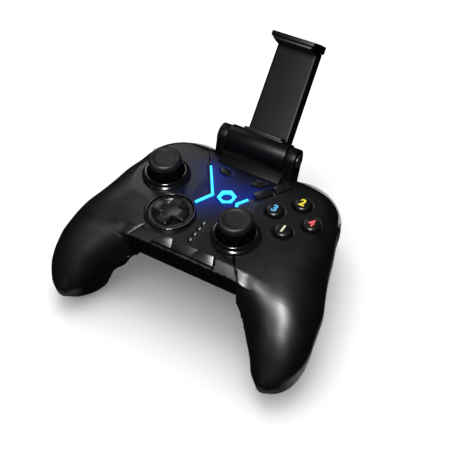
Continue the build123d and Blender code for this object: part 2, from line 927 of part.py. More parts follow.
def stick_cap(x, y):
    """Thumb cap with its neck and the dome that hides the stick's works."""
    pivot = -stick_pivot_depth
    rim = stick_cap_diameter / 2
    bottom = stick_top - stick_cap_height
    neck = stick_stem_radius
    shoulder = pivot + math.sqrt(stick_dome_radius ** 2 - neck ** 2)
    cap = turned([
        (0, stick_top - stick_dish_depth),
        (rim * stick_dish_share, stick_top - stick_dish_depth * stick_dish_fall_share),
        (rim * stick_brow_share, stick_top),
        (rim, stick_top - stick_dish_depth),
        (rim, bottom + stick_dish_depth),
        (rim * stick_brow_share, bottom),
        (neck, bottom - stick_dish_depth / 2),
        (neck, shoulder - part_gap),
        (0, shoulder - part_gap),
    ], x, y)
    dome = Pos(x, y, pivot) * (Sphere(stick_dome_radius) - Sphere(stick_dome_inner_radius))
    spread = overrun * math.tan(math.radians(stick_dome_angle))
    cone = Pos(x, y, pivot + overrun / 2) * Cone(running_gap, spread, overrun)
    return cap + (dome & cone) - upright(x, y, stem_radius, pivot, stem_top)


def stick_stem(x, y):
    """Stem that carries the cap and reaches down through both yokes."""
    pivot = -stick_pivot_depth
    stem = upright(x, y, stem_radius, pivot, stem_top)
    stem += upright(x, y, tail_radius, pivot - tail_length, pivot)
    reach = outer_yoke_width / 2
    return stem + lengthwise(x, pivot, stem_pin_radius, y - reach, y + reach)


def outer_yoke_slot():
    """Length of the slot in the outer yoke."""
    return (module_size - 2 * module_wall) * yoke_slot_share


def outer_yoke(x, y):
    """Frame that tilts fore and aft on axles along X and lets the stem tilt sideways."""
    pivot = -stick_pivot_depth
    half = module_size / 2 - module_wall - yoke_gap
    frame = block(
        x - half, x + half, y - outer_yoke_width / 2, y + outer_yoke_width / 2,
        pivot - outer_yoke_height / 2, pivot + outer_yoke_height / 2)
    slot = block(
        x - outer_yoke_slot() / 2, x + outer_yoke_slot() / 2, y - stem_radius - running_gap,
        y + stem_radius + running_gap, pivot - outer_yoke_height, pivot + outer_yoke_height)
    axle = crosswise(y, pivot, axle_radius, x - module_size / 2, x + module_size / 2)
    return frame + axle - slot - lengthwise(x, pivot, stem_pin_radius + running_gap, y - half, y + half)


def inner_yoke(x, y):
    """Bow that tilts sideways on axles along Y, moved by the stem's tail."""
    pivot = -stick_pivot_depth
    half = module_size / 2 - module_wall - yoke_gap
    side = inner_yoke_width / 2
    bottom = pivot - inner_yoke_drop
    bow = block(x - side, x + side, y - half, y + half, bottom, bottom + inner_yoke_bar)
    for y0, y1 in ((y - half, y - half + inner_yoke_arm), (y + half - inner_yoke_arm, y + half)):
        bow += block(x - side, x + side, y0, y1, bottom, pivot + axle_radius)
    bow += lengthwise(x, pivot, axle_radius, y - module_size / 2, y - half + inner_yoke_arm)
    bow += lengthwise(x, pivot, axle_radius, y + half - inner_yoke_arm, y + module_size / 2)
    play = tail_radius + yoke_gap / 2
    reach = half - inner_yoke_arm - yoke_gap
    slot_top = bottom + 2 * inner_yoke_bar
    return bow - block(x - play, x + play, y - reach, y + reach, bottom - yoke_gap, slot_top)


def stick_module(x, y):
    """Housing of a stick on the board, with slots for the axles of its yokes."""
    base = -board_depth
    half = module_size / 2
    inner = half - module_wall
    housing = block(x - half, x + half, y - half, y + half, base, base + module_height)
    housing = fillet(housing.edges().filter_by(Axis.Z), module_round)
    housing -= block(x - inner, x + inner, y - inner, y + inner, base + module_floor, overrun)
    pivot = -stick_pivot_depth
    radius = axle_radius + running_gap
    fall = stick_travel + running_gap
    housing -= crosswise(y, pivot, radius, x - half, x + half)
    housing -= lengthwise(x, pivot, radius, y - half, y + half)
    housing -= block(x - half, x + half, y - radius, y + radius, pivot - fall - axle_radius, pivot)
    return housing - block(x - radius, x + radius, y - half, y + half, pivot - fall - axle_radius, pivot)


def stick_seat(x, y):
    """Sprung disc under the stem that gives way when the stick is pressed."""
    bottom = -board_depth + module_floor + seat_lift
    return upright(x, y, seat_radius, bottom, bottom + seat_height)


# Direction pad

def direction_ring():
    """Ring round the direction pad."""
    outer = pad_ring_diameter / 2 - running_gap
    inner = pad_ring_inner_diameter / 2
    flange = pad_ring_flange_diameter / 2
    return turned([
        (inner, -wall - pad_ring_thickness), (flange, -wall - pad_ring_thickness), (flange, -wall),
        (outer, -wall), (outer, pad_ring_height / 2), (outer - pad_ring_height / 2, pad_ring_height),
        (inner, pad_ring_height),
    ], pad_x, pad_y)


def direction_pad():
    """Dish with a raised cross, scooped in the middle."""
    rim = pad_diameter / 2
    bowl = turned([
        (0, -pad_underside_depth), (rim, -pad_underside_depth), (rim, pad_rim_height),
        (pad_dish_radius, pad_rim_height),
        (pad_dish_radius * pad_dish_floor_share, pad_rim_height - pad_dish_depth),
        (0, pad_rim_height - pad_dish_depth),
    ], pad_x, pad_y)
    arm = pad_cross_width / 2
    top = pad_cross_height
    base = -pad_underside_depth / 2
    cross = block(pad_x - pad_cross_reach, pad_x + pad_cross_reach, pad_y - arm, pad_y + arm, base, top)
    cross += block(pad_x - arm, pad_x + arm, pad_y - pad_cross_reach, pad_y + pad_cross_reach, base, top)
    cross = chamfer(cross.faces().sort_by(Axis.Z)[-1].edges(), pad_rim_height)
    scoop = Pos(pad_x, pad_y, top - pad_scoop_depth + pad_scoop_radius) * Sphere(pad_scoop_radius)
    return bowl + cross - scoop


def direction_pivot():
    """Small rocking block under the direction pad."""
    half = pad_pivot_size / 2
    top = -pad_underside_depth - pad_pivot_gap
    return block(pad_x - half, pad_x + half, pad_y - half, pad_y + half, top - pad_pivot_height, top)


def direction_base():
    """Post on the board that carries the rocking block."""
    top = -pad_underside_depth - 2 * pad_pivot_gap - pad_pivot_height
    return upright(pad_x, pad_y, pad_base_radius, -board_depth, top)


# Buttons and keys

def round_button(x, y):
    """Domed round button with its flange and plunger."""
    radius = button_diameter / 2
    flange = -wall - button_flange_gap
    low = flange - button_flange_thickness
    foot = -board_depth + mat_thickness + button_travel + part_gap
    return turned([
        (0, foot), (mat_dome_radius, foot), (mat_dome_radius, low), (radius + button_flange, low),
        (radius + button_flange, flange), (radius, flange), (radius, button_rise * button_side_share),
        (radius * button_brow_share, button_rise * button_brow_rise_share),
        (radius * button_top_share, button_rise), (0, button_rise),
    ], x, y)


def button_mat():
    """Rubber mat with a dome under each round button."""
    base = -board_depth
    mat = None
    for x, y in cluster_places():
        sheet = upright(x, y, mat_dome_radius * mat_sheet_share, base, base + mat_thickness)
        mat = sheet if mat is None else mat + sheet
    mat += block(
        cluster_x - cluster_radius, cluster_x + cluster_radius, cluster_y - mat_dome_radius,
        cluster_y + mat_dome_radius, base, base + mat_thickness)
    mat += block(
        cluster_x - mat_dome_radius, cluster_x + mat_dome_radius, cluster_y - cluster_radius,
        cluster_y + cluster_radius, base, base + mat_thickness)
    for x, y in cluster_places():
        mat += Pos(x, y, base + mat_thickness + button_travel / 2) * Cone(
            mat_dome_radius * mat_foot_share, mat_dome_radius * mat_crown_share, button_travel)
    return mat


def flat_key(outline, top, foot):
    """Key with a flange-free body and a plunger down to its switch."""
    x = sum(p[0] for p in outline) / len(outline)
    y = sum(p[1] for p in outline) / len(outline)
    return plan_slab(outline, top - key_body, top) + upright(x, y, plunger_radius, foot, top - key_body / 2)


def key_foot():
    """Height of the lower end of a key's plunger over its switch."""
    return -board_depth + switch_height + key_travel + switch_gap


def bevel_height(y):
    """Height of the bevel along the front edge."""
    start = rear_y - body_station_shares[-2] * (rear_y - front_y)
    top = -front_bevel * body_face_shares[-2]
    return top - (top + front_bevel) * (start - y) / (start - front_y)


def front_key(outline):
    """Key of the front row, its top parallel to the bevel."""
    near = front_y - wall
    far = front_board_rear_y + wall
    slab = side_slab([
        (far, bevel_height(far) + front_key_height), (far, -overrun), (near, -overrun),
        (near, bevel_height(near) + front_key_height),
    ], -overrun, overrun)
    top = front_key_height
    foot = -front_board_depth + switch_height + key_travel + switch_gap
    x = sum(p[0] for p in outline) / len(outline)
    key = plan_slab(outline, -2 * front_key_height - front_bevel, top) & slab
    return key + upright(x, front_plunger_y, plunger_radius, foot, -front_bevel)


def key_switches():
    """Small switches under the keys."""
    switches = None
    half = switch_size / 2
    for n, outline in enumerate(key_outlines(0)):
        base = -board_depth if n < 4 else -front_board_depth
        x = sum(p[0] for p in outline) / len(outline)
        y = sum(p[1] for p in outline) / len(outline)
        if n >= 4:
            y = (front_board_front_y + front_board_rear_y) / 2
        switch = block(x - half, x + half, y - half, y + half, base, base + switch_height)
        switches = switch if switches is None else switches + switch
    return switches


# Inside

def main_board():
    """Main circuit board."""
    base = -board_depth - board_thickness
    board = block(-board_half_width, board_half_width, board_front_y, board_rear_y, base, -board_depth)
    board += block(
        -board_tongue_half_width, board_tongue_half_width, board_tongue_y, board_front_y, base, -board_depth)
    board += block(
        -board_rear_half_width, board_rear_half_width, board_rear_y, board_tail_y, base, -board_depth)
    for x, y, meet, seat in screw_places():
        board -= both(upright(x, y, boss_radius + part_gap, base, -board_depth))
    return board


def front_board():
    """Small board under the front keys."""
    half = front_board_length / 2
    base = -front_board_depth - board_thickness
    return block(-half, half, front_board_front_y, front_board_rear_y, base, -front_board_depth)


def battery():
    """Flat battery in the belly."""
    return block(
        -battery_length / 2, battery_length / 2, battery_y - battery_width / 2,
        battery_y + battery_width / 2, -battery_floor_depth, -battery_floor_depth + battery_height)


def motor():
    """Vibration motor with its shaft."""
    end = motor_inner_x + motor_length
    can = lengthwise_motor(motor_radius)
    return can + crosswise(motor_y, -motor_depth, shaft_radius, end, end + weight_gap + weight_length)


def motor_weight():
    """Half-round weight on the motor's shaft."""
    start = motor_inner_x + motor_length + weight_gap
    disc = crosswise(motor_y, -motor_depth, weight_radius, start, start + weight_length)
    hub = crosswise(motor_y, -motor_depth, shaft_radius * 2, start, start + weight_length)
    half = disc & block(start, start + weight_length, -overrun * 2, overrun, -motor_depth, overrun)
    bore = crosswise(motor_y, -motor_depth, shaft_radius + running_gap, start, start + weight_length)
    return half + hub - bore


def case_screws():
    """Screws that hold the shells together."""
    screws = None
    for x, y, meet, seat in screw_places():
        screw = upright(x, y, screw_radius, seat, meet + screw_reach)
        screw += upright(x, y, screw_head_radius, seat - screw_head_height, seat)
        screws = both(screw) if screws is None else screws + both(screw)
    return screws


def charging_socket():
    """Open metal shell of the charging socket with its tongue."""
    y0 = rear_y - socket_length
    socket = socket_outline(0, y0, rear_y) - socket_outline(-socket_wall, y0 + socket_wall, rear_y)
    tongue = socket_width / 2 - socket_height / 2
    bottom = -socket_depth - socket_wall
    return socket + block(
        -tongue, tongue, y0, rear_y - socket_height / 2, bottom, bottom + 2 * socket_wall)


# Shoulder pieces

def bumper():
    """Right bumper with the eye that it turns on."""
    top = -bumper_top_depth
    bottom = top - bumper_height
    band = bumper_band(0, bumper_wall, bottom, top, 0)
    eye = upright(bumper_pin_x, bumper_pin_y, eye_radius, bottom, top)
    return band + eye - upright(bumper_pin_x, bumper_pin_y, pin_radius + running_gap, bottom, top)


def trigger_outline(sweep):
    """Side view of the trigger, its blade drawn forward by a sweep."""
    return [
        (trigger_pivot_y, -trigger_web_depth),
        (trigger_rear_y - sweep, -trigger_top_depth),
        (trigger_bulge_y - sweep, -trigger_mid_depth),
        (trigger_bulge_y - sweep, -trigger_low_depth),
        (trigger_lip_y - sweep, -trigger_tip_depth),
        (trigger_lip_y - sweep - trigger_wall / 2, -trigger_tip_depth - trigger_tip_height),
        (trigger_bulge_y - sweep - trigger_wall, -trigger_low_depth),
        (trigger_bulge_y - sweep - trigger_wall, -trigger_mid_depth),
        (trigger_pivot_y + trigger_wall, -trigger_pivot_depth),
    ]


def trigger():
    """Right trigger: a hub on its pin and a blade that follows the body round."""
    ends = []
    for x, sweep in ((trigger_inner_x, 0), (trigger_inner_x + trigger_width, trigger_sweep)):
        ends.append(Face(Wire(Polyline(*[(x, y, z) for y, z in trigger_outline(sweep)], close=True))))
    blade = loft(ends, ruled=True)
    x1 = trigger_inner_x + trigger_width
    hub = crosswise(trigger_pivot_y, -trigger_pivot_depth, trigger_hub_radius, trigger_inner_x, x1)
    notch = crosswise(
        trigger_pivot_y, -trigger_pivot_depth, trigger_hub_radius + running_gap, trigger_inner_x,
        trigger_inner_x + spring_length)
    return blade + hub - notch - crosswise(
        trigger_pivot_y, -trigger_pivot_depth, pin_radius + running_gap, trigger_inner_x, x1)


def trigger_pin():
    """Pin of the right trigger."""
    x0 = trigger_inner_x - trigger_gap - trigger_rib_width
    x1 = trigger_inner_x + trigger_width + trigger_gap + trigger_rib_width
    return crosswise(trigger_pivot_y, -trigger_pivot_depth, pin_radius, x0, x1)


def trigger_spring():
    """Spring round the right trigger's pin."""
    x0 = trigger_inner_x
    x1 = trigger_inner_x + spring_length - trigger_gap
    outer = crosswise(trigger_pivot_y, -trigger_pivot_depth, spring_radius, x0, x1)
    return outer - crosswise(trigger_pivot_y, -trigger_pivot_depth, spring_radius - spring_wall, x0, x1)


# Phone holder

def lean_slab(points, x0, x1):
    """Outline along the holder's length and towards its front, carried along X."""
    placed = []
    for along, front in points:
        placed.append((hinge_y + along * lean_sine - front * lean_cosine,
                       hinge_height + along * lean_cosine + front * lean_sine))
    return side_slab(placed, x0, x1)


def holder_foot():
    """Apron and side arms that carry the holder's hinge."""
    apron = side_slab([
        (foot_front_y, -wall), (foot_front_y, -centre_drop + foot_lip), (foot_brow_y, foot_brow),
        (hinge_y - barrel_radius / 2, hinge_height / 3), (foot_rear_y, hinge_height / 3),
        (foot_rear_y, -foot_skirt_depth), (foot_brow_y, -foot_skirt_depth),
    ], -foot_side, foot_side)
    inner = barrel_length / 2 + arm_gap
    outer = inner + arm_width
    arm = crosswise(hinge_y, hinge_height, arm_radius, inner, outer)
    arm += side_slab([
        (hinge_y - arm_radius, hinge_height), (arm_front_y, -arm_front_depth),
        (arm_front_y, -foot_skirt_depth), (foot_rear_y, -foot_skirt_depth),
        (hinge_y + arm_radius, hinge_height),
    ], inner, outer)
    foot = apron - crosswise(hinge_y, hinge_height, barrel_radius + arm_gap, -overrun, overrun)
    foot += both(arm)
    foot -= both(body_half(0, centre_drop))
    foot -= crosswise(hinge_y, hinge_height, hinge_pin_radius, -overrun, overrun)
    return foot


def holder_back():
    """Hinge barrel, back plate with its channel, and the lower jaw."""
    rear = -plate_offset - plate_thickness
    frame = Plane(
        origin=(0, hinge_y, hinge_height), x_dir=(1, 0, 0), z_dir=(0, -lean_cosine, lean_sine))
    corners = [
        (-plate_width / 2, -plate_foot), (plate_width / 2, -plate_foot),
        (plate_top_width / 2, plate_length), (-plate_top_width / 2, plate_length),
    ]
    outline = Face(Wire(Polyline(*[(x, e, rear) for x, e in corners], close=True)))
    plate = frame * extrude(outline, amount=plate_thickness, dir=(0, 0, 1))
    long_edges = [edge for edge in plate.edges() if edge.length > plate_length]
    plate = fillet(long_edges, plate_round)
    half = barrel_length / 2
    back = plate + crosswise(hinge_y, hinge_height, barrel_radius, -half, half)
    back += lean_slab([
        (ledge_height, -plate_offset - plate_round),
        (ledge_height, ledge_reach),
        (ledge_height - ledge_thickness, ledge_reach),
        (0, ledge_underside),
        (0, -plate_offset - plate_round),
    ], -plate_width / 2, plate_width / 2)
    channel = lean_slab([
        (channel_start, tongue_front() + tongue_gap), (plate_length + overrun, tongue_front() + tongue_gap),
        (plate_length + overrun, tongue_front() - tongue_thickness - tongue_gap),
        (channel_start, tongue_front() - tongue_thickness - tongue_gap),
    ], -tongue_width / 2 - tongue_gap, tongue_width / 2 + tongue_gap)
    return back - channel - crosswise(
        hinge_y, hinge_height, hinge_pin_radius + running_gap, -overrun, overrun)


def tongue_front():
    """Front face of the jaw's tongue, measured from the hinge towards the front."""
    return -plate_offset - (plate_thickness - tongue_thickness) / 2


def jaw_lip_front():
    """Front end of the upper jaw."""
    return jaw_reach - plate_offset


def holder_jaw():
    """Upper jaw on a tongue that slides in the back plate."""
    start = plate_length - tongue_length
    front = tongue_front()
    tongue = lean_slab([
        (start, front), (plate_length + jaw_gap + jaw_top / 2, front),
        (plate_length + jaw_gap + jaw_top / 2, front - tongue_thickness), (start, front - tongue_thickness),
    ], -tongue_width / 2, tongue_width / 2)
    slot_end = start + holder_spring_length + jaw_gap
    for x in (-holder_spring_x, holder_spring_x):
        tongue -= lean_slab([
            (start, overrun), (slot_end, overrun), (slot_end, -overrun), (start, -overrun),
        ], x - spring_slot, x + spring_slot)
    base = plate_length + jaw_gap
    rear = -plate_offset - plate_thickness
    lip = jaw_lip_front()
    head = lean_slab([
        (base, rear), (base + jaw_top, rear), (base + jaw_top, -plate_offset),
        (base + jaw_top - jaw_lip_drop / 2, lip), (base + jaw_lip_drop, lip),
        (base - jaw_root_drop, -plate_offset + jaw_gap), (base, -plate_offset + jaw_gap),
    ], -plate_width / 2, plate_width / 2)
    return tongue + head


def jaw_pad():
    """Rubber pad under the upper jaw."""
    base = plate_length + jaw_gap
    root = -plate_offset + jaw_gap
    lip = jaw_lip_front()
    slope = (jaw_lip_drop + jaw_root_drop) / (lip - root)
    f0 = root + pad_margin / 2
    f1 = lip - pad_margin / 2
    e0 = base - jaw_root_drop + slope * (f0 - root)
    e1 = base - jaw_root_drop + slope * (f1 - root)
    half = plate_width / 2 - pad_margin
    return lean_slab([(e0, f0), (e1, f1), (e1 - pad_sheet, f1), (e0 - pad_sheet, f0)], -half, half)


def ledge_pad():
    """Rubber pad on the lower jaw."""
    half = plate_width / 2 - pad_margin
    f0 = -plate_offset + jaw_gap
    f1 = ledge_reach - pad_margin / 2
    top = ledge_height + pad_sheet
    return lean_slab([(ledge_height, f0), (top, f0), (top, f1), (ledge_height, f1)], -half, half)


def hinge_pin():
    """Pin through the arms and the barrel, with its head on the right."""
    end = barrel_length / 2 + arm_gap + arm_width
    pin = crosswise(hinge_y, hinge_height, hinge_pin_radius, -end, end)
    return pin + crosswise(hinge_y, hinge_height, hinge_head_radius, end, end + hinge_head_height)


def holder_springs():
    """Pair of springs that draw the upper jaw down."""
    springs = None
    middle = tongue_front() - tongue_thickness / 2
    start = channel_start
    for x in (-holder_spring_x, holder_spring_x):
        y0 = hinge_y + start * lean_sine - middle * lean_cosine
        z0 = hinge_height + start * lean_cosine + middle * lean_sine
        length = plate_length - tongue_length + holder_spring_length - channel_start
        rod = Pos(x, y0, z0) * Rot(-holder_lean, 0, 0) * Pos(0, 0, length / 2) * Cylinder(
            holder_spring_radius, length)
        springs = rod if springs is None else springs + rod
    return springs


# The whole controller in the face frame

battery_y = (belly_front_foot_y + belly_rear_foot_y) / 2
socket_base = -socket_depth - socket_height / 2
upper = upper_space()
outer_half = body_half(0, 0)
inner_half = body_half(wall, wall)
settled = Rot(-stand_angle, 0, 0) * outer_half
stand_level = settled.bounding_box().min.Z
holes = face_holes()

nodes = {}
panel = side_panel()
nodes["right_panel"] = panel - holes
nodes["left_panel"] = mirrored(panel) - holes
nodes["centre_panel"] = centre_panel() - holes
nodes["rear_shell"] = rear_shell()
nodes["light_strips"] = light_strips()
nodes["centre_light"] = centre_light()
nodes["indicator_lamps"] = indicator_lamps()
nodes["direction_ring"] = direction_ring()
nodes["direction_pad"] = direction_pad()
nodes["direction_pivot"] = direction_pivot()
nodes["direction_base"] = direction_base()
for side, x, y in (("left", left_stick_x, left_stick_y), ("right", right_stick_x, right_stick_y)):
    nodes[side + "_stick_collar"] = stick_collar(x, y)
    nodes[side + "_stick_cap"] = stick_cap(x, y)
    nodes[side + "_stick_stem"] = stick_stem(x, y)
    nodes[side + "_outer_yoke"] = outer_yoke(x, y)
    nodes[side + "_inner_yoke"] = inner_yoke(x, y)
    nodes[side + "_stick_seat"] = stick_seat(x, y)
    nodes[side + "_stick_module"] = stick_module(x, y)
for name, place in zip(("near", "far", "inner", "outer"), cluster_places()):
    nodes["button_" + name] = round_button(*place)
nodes["button_mat"] = button_mat()
nodes["upper_key_left"] = flat_key(upper_key_outline(-1, 0), key_rise - centre_drop, key_foot())
nodes["upper_key_right"] = flat_key(upper_key_outline(1, 0), key_rise - centre_drop, key_foot())
nodes["strip_key_inner"] = flat_key(strip_key_outline(strip_key_inner_along, 0), key_rise, key_foot())
nodes["strip_key_outer"] = flat_key(strip_key_outline(strip_key_outer_along, 0), key_rise, key_foot())
for name, outline in zip(("left", "middle", "right"), front_key_outlines(0)):
    nodes["front_key_" + name] = front_key(outline)
nodes["key_switches"] = key_switches()
nodes["main_board"] = main_board()
nodes["front_board"] = front_board()
nodes["battery"] = battery()
nodes["right_bumper"] = bumper()
nodes["left_bumper"] = mirrored(bumper())
nodes["right_trigger"] = trigger()
nodes["left_trigger"] = mirrored(trigger())
nodes["trigger_pins"] = both(trigger_pin())
nodes["trigger_springs"] = both(trigger_spring())
nodes["motors"] = both(motor())
nodes["right_motor_weight"] = motor_weight()
nodes["left_motor_weight"] = mirrored(motor_weight())
nodes["case_screws"] = case_screws()
nodes["charging_socket"] = charging_socket()
nodes["holder_foot"] = holder_foot()
nodes["holder_back"] = holder_back()
nodes["holder_jaw"] = holder_jaw()
nodes["jaw_pad"] = jaw_pad()
nodes["ledge_pad"] = ledge_pad()
nodes["hinge_pin"] = hinge_pin()
nodes["holder_springs"] = holder_springs()

# The controller set down on its grip tips and belly
turn = Rot(-stand_angle, 0, 0)
settled = Compound([solid for shape in nodes.values() for solid in (turn * shape).solids()])
box = settled.bounding_box()
place = Pos(-(box.min.X + box.max.X) / 2, -(box.min.Y + box.max.Y) / 2, -box.min.Z) * turn
os.makedirs("parts", exist_ok=True)
for name, shape in nodes.items():
    export_step(place * shape, "parts/" + name + ".step")
print("stands at", box.min.X, box.max.X, box.min.Y, box.max.Y, box.min.Z, box.max.Z)
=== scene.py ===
"""Mobile game controller with a folding phone holder: its looks, the light and the camera."""

import json
import logging
import math
from dataclasses import dataclass, replace
from enum import Enum
from typing import Sequence

import bmesh
import bpy
import numpy as np
from mathutils import Matrix, Vector

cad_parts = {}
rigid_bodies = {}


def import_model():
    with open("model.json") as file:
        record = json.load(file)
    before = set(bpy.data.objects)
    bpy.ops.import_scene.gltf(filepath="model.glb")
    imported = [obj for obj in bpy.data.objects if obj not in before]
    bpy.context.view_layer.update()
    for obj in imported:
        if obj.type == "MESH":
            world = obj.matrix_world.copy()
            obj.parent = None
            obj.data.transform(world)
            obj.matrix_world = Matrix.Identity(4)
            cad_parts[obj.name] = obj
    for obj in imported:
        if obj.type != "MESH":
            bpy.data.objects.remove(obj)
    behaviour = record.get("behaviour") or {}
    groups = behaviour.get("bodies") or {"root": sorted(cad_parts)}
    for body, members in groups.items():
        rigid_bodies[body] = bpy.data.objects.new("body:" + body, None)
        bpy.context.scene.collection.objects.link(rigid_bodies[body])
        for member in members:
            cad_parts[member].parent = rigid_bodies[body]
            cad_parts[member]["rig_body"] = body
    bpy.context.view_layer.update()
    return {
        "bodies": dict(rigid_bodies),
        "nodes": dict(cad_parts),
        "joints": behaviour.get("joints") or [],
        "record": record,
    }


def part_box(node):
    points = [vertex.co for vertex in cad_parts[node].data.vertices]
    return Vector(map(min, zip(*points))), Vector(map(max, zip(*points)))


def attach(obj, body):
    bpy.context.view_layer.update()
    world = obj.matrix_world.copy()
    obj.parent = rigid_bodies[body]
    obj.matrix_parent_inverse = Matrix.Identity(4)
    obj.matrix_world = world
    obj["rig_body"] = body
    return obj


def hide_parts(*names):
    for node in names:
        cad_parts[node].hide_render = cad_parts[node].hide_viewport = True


log = logging.getLogger("controller")
MM = 0.001
Colour = tuple[float, float, float]
# Pale grey along the lower shell's edge: partly the shell's own dark grey, partly painted sheen.
SHEEN_GREY: Colour = (0.22, 0.22, 0.23)
WAVE_TURN = 6.3
TINY = 1e-12
DOUBLE_GAP = 1e-6
NODE_GAP = 2e-6
FLAT_ANGLE = math.radians(0.6)
SHARP_ANGLE = math.radians(32)
EASED_ANGLE = 40.0
DIVIDING_ROUNDS = 7
MOST_FACES = 90000


class Side(Enum):
    """Left and right of the player, with the sign of X."""

    LEFT = -1
    RIGHT = 1


def ramp(value: np.ndarray, start: float, end: float) -> np.ndarray:
    """Share that rises evenly from 0 where the value is start to 1 where it is end."""
    return np.clip((value - start) / (end - start), 0, 1)


def soft_step(share: np.ndarray) -> np.ndarray:
    """Three times the square of a share less twice its cube, which starts and ends level."""
    return share * share * (3 - 2 * share)


def measured(items: bpy.types.bpy_prop_collection, name: str, width: int = 1) -> np.ndarray:
    """One measure of each vertex or face of a mesh.

    Args:
        items: The mesh's vertices or polygons.
        name: Name of the measure.
        width: How many numbers it has.

    Returns:
        A row of numbers for each item, or one number for each where the width is 1.
    """
    values = np.zeros(len(items) * width, np.float32)
    items.foreach_get(name, values)
    return values.reshape(-1, width) if width > 1 else values


def noise(tree: bpy.types.NodeTree, scale: float, detail: float = 2.0) -> bpy.types.NodeSocket:
    """Noise over the object's own coordinates.

    Args:
        tree: The node tree that gets the nodes.
        scale: Number of its waves in a metre.
        detail: Number of finer layers.

    Returns:
        The socket that holds the noise, from 0 to 1.
    """
    place = tree.nodes.new("ShaderNodeTexCoord")
    cloud = tree.nodes.new("ShaderNodeTexNoise")
    cloud.inputs["Scale"].default_value = scale
    cloud.inputs["Detail"].default_value = detail
    tree.links.new(place.outputs["Object"], cloud.inputs["Vector"])
    return cloud.outputs["Fac"]


def mapped(tree: bpy.types.NodeTree, value: bpy.types.NodeSocket, low: float,
           high: float) -> bpy.types.NodeSocket:
    """Socket that runs from low to high while the value runs from 0 to 1.

    Args:
        tree: The node tree that gets the node.
        value: The socket that holds the value.
        low: Result where the value is 0.
        high: Result where the value is 1.

    Returns:
        The socket that holds the result.
    """
    level = tree.nodes.new("ShaderNodeMapRange")
    level.inputs["To Min"].default_value = low
    level.inputs["To Max"].default_value = high
    tree.links.new(value, level.inputs["Value"])
    return level.outputs["Result"]


def product(tree: bpy.types.NodeTree, first: bpy.types.NodeSocket,
            second: bpy.types.NodeSocket | float) -> bpy.types.NodeSocket:
    """Product of a socket and of another socket or a number.

    Args:
        tree: The node tree that gets the node.
        first: The first socket.
        second: The other socket, or the number.

    Returns:
        The socket that holds the product.
    """
    times = tree.nodes.new("ShaderNodeMath")
    times.operation = "MULTIPLY"
    tree.links.new(first, times.inputs[0])
    if isinstance(second, float):
        times.inputs[1].default_value = second
    else:
        tree.links.new(second, times.inputs[1])
    return times.outputs["Value"]


def tint_with_sheen(tree: bpy.types.NodeTree, colour: Colour) -> bpy.types.NodeSocket:
    """Mixes a paler colour, partly painted sheen, into a finish where the mesh's attribute for it says.

    Args:
        tree: The node tree of the finish, whose base colour is already linked.
        colour: The paler colour, partly painted sheen.

    Returns:
        The socket that holds the attribute.
    """
    shader = tree.nodes["Principled BSDF"]
    band = tree.nodes.new("ShaderNodeAttribute")
    band.attribute_name = "band"
    tint = tree.nodes.new("ShaderNodeMix")
    tint.data_type = "RGBA"
    tree.links.new(band.outputs["Fac"], tint.inputs[0])
    tree.links.new(shader.inputs["Base Color"].links[0].from_socket, tint.inputs[6])
    tint.inputs[7].default_value = (*colour, 1.0)
    tree.links.new(tint.outputs[2], shader.inputs["Base Color"])
    return band.outputs["Fac"]


@dataclass(frozen=True)
class FaceFrame:
    """The face of the body as a frame in millimetres: X right, Y away, Z out of the face.

    The controller stands on its grip tips, so its face is turned about X by the stand angle.
    """

    stand_angle: float = 7.4
    hinge_y: float = 40.0
    hinge_z: float = 8.5

    def turn(self) -> np.ndarray:
        """Rotation from the face frame to the row's frame."""
        a = math.radians(self.stand_angle)
        return np.array([[1, 0, 0], [0, math.cos(a), math.sin(a)], [0, -math.sin(a), math.cos(a)]])

    def shift(self) -> np.ndarray:
        """Place of the face frame's origin in the row's frame, read from the hinge pin's box."""
        low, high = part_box("hinge_pin")
        middle = np.array([0.0, (low.y + high.y) / 2, (low.z + high.z) / 2]) / MM
        return middle - self.turn() @ np.array([0.0, self.hinge_y, self.hinge_z])

    def to_row(self, points: np.ndarray) -> np.ndarray:
        """Points of the face frame in millimetres, as metres in the row's frame."""
        return (points @ self.turn().T + self.shift()) * MM

    def to_face(self, points: np.ndarray) -> np.ndarray:
        """Points of the row's frame in metres, as millimetres in the face frame."""
        return (points / MM - self.shift()) @ self.turn()


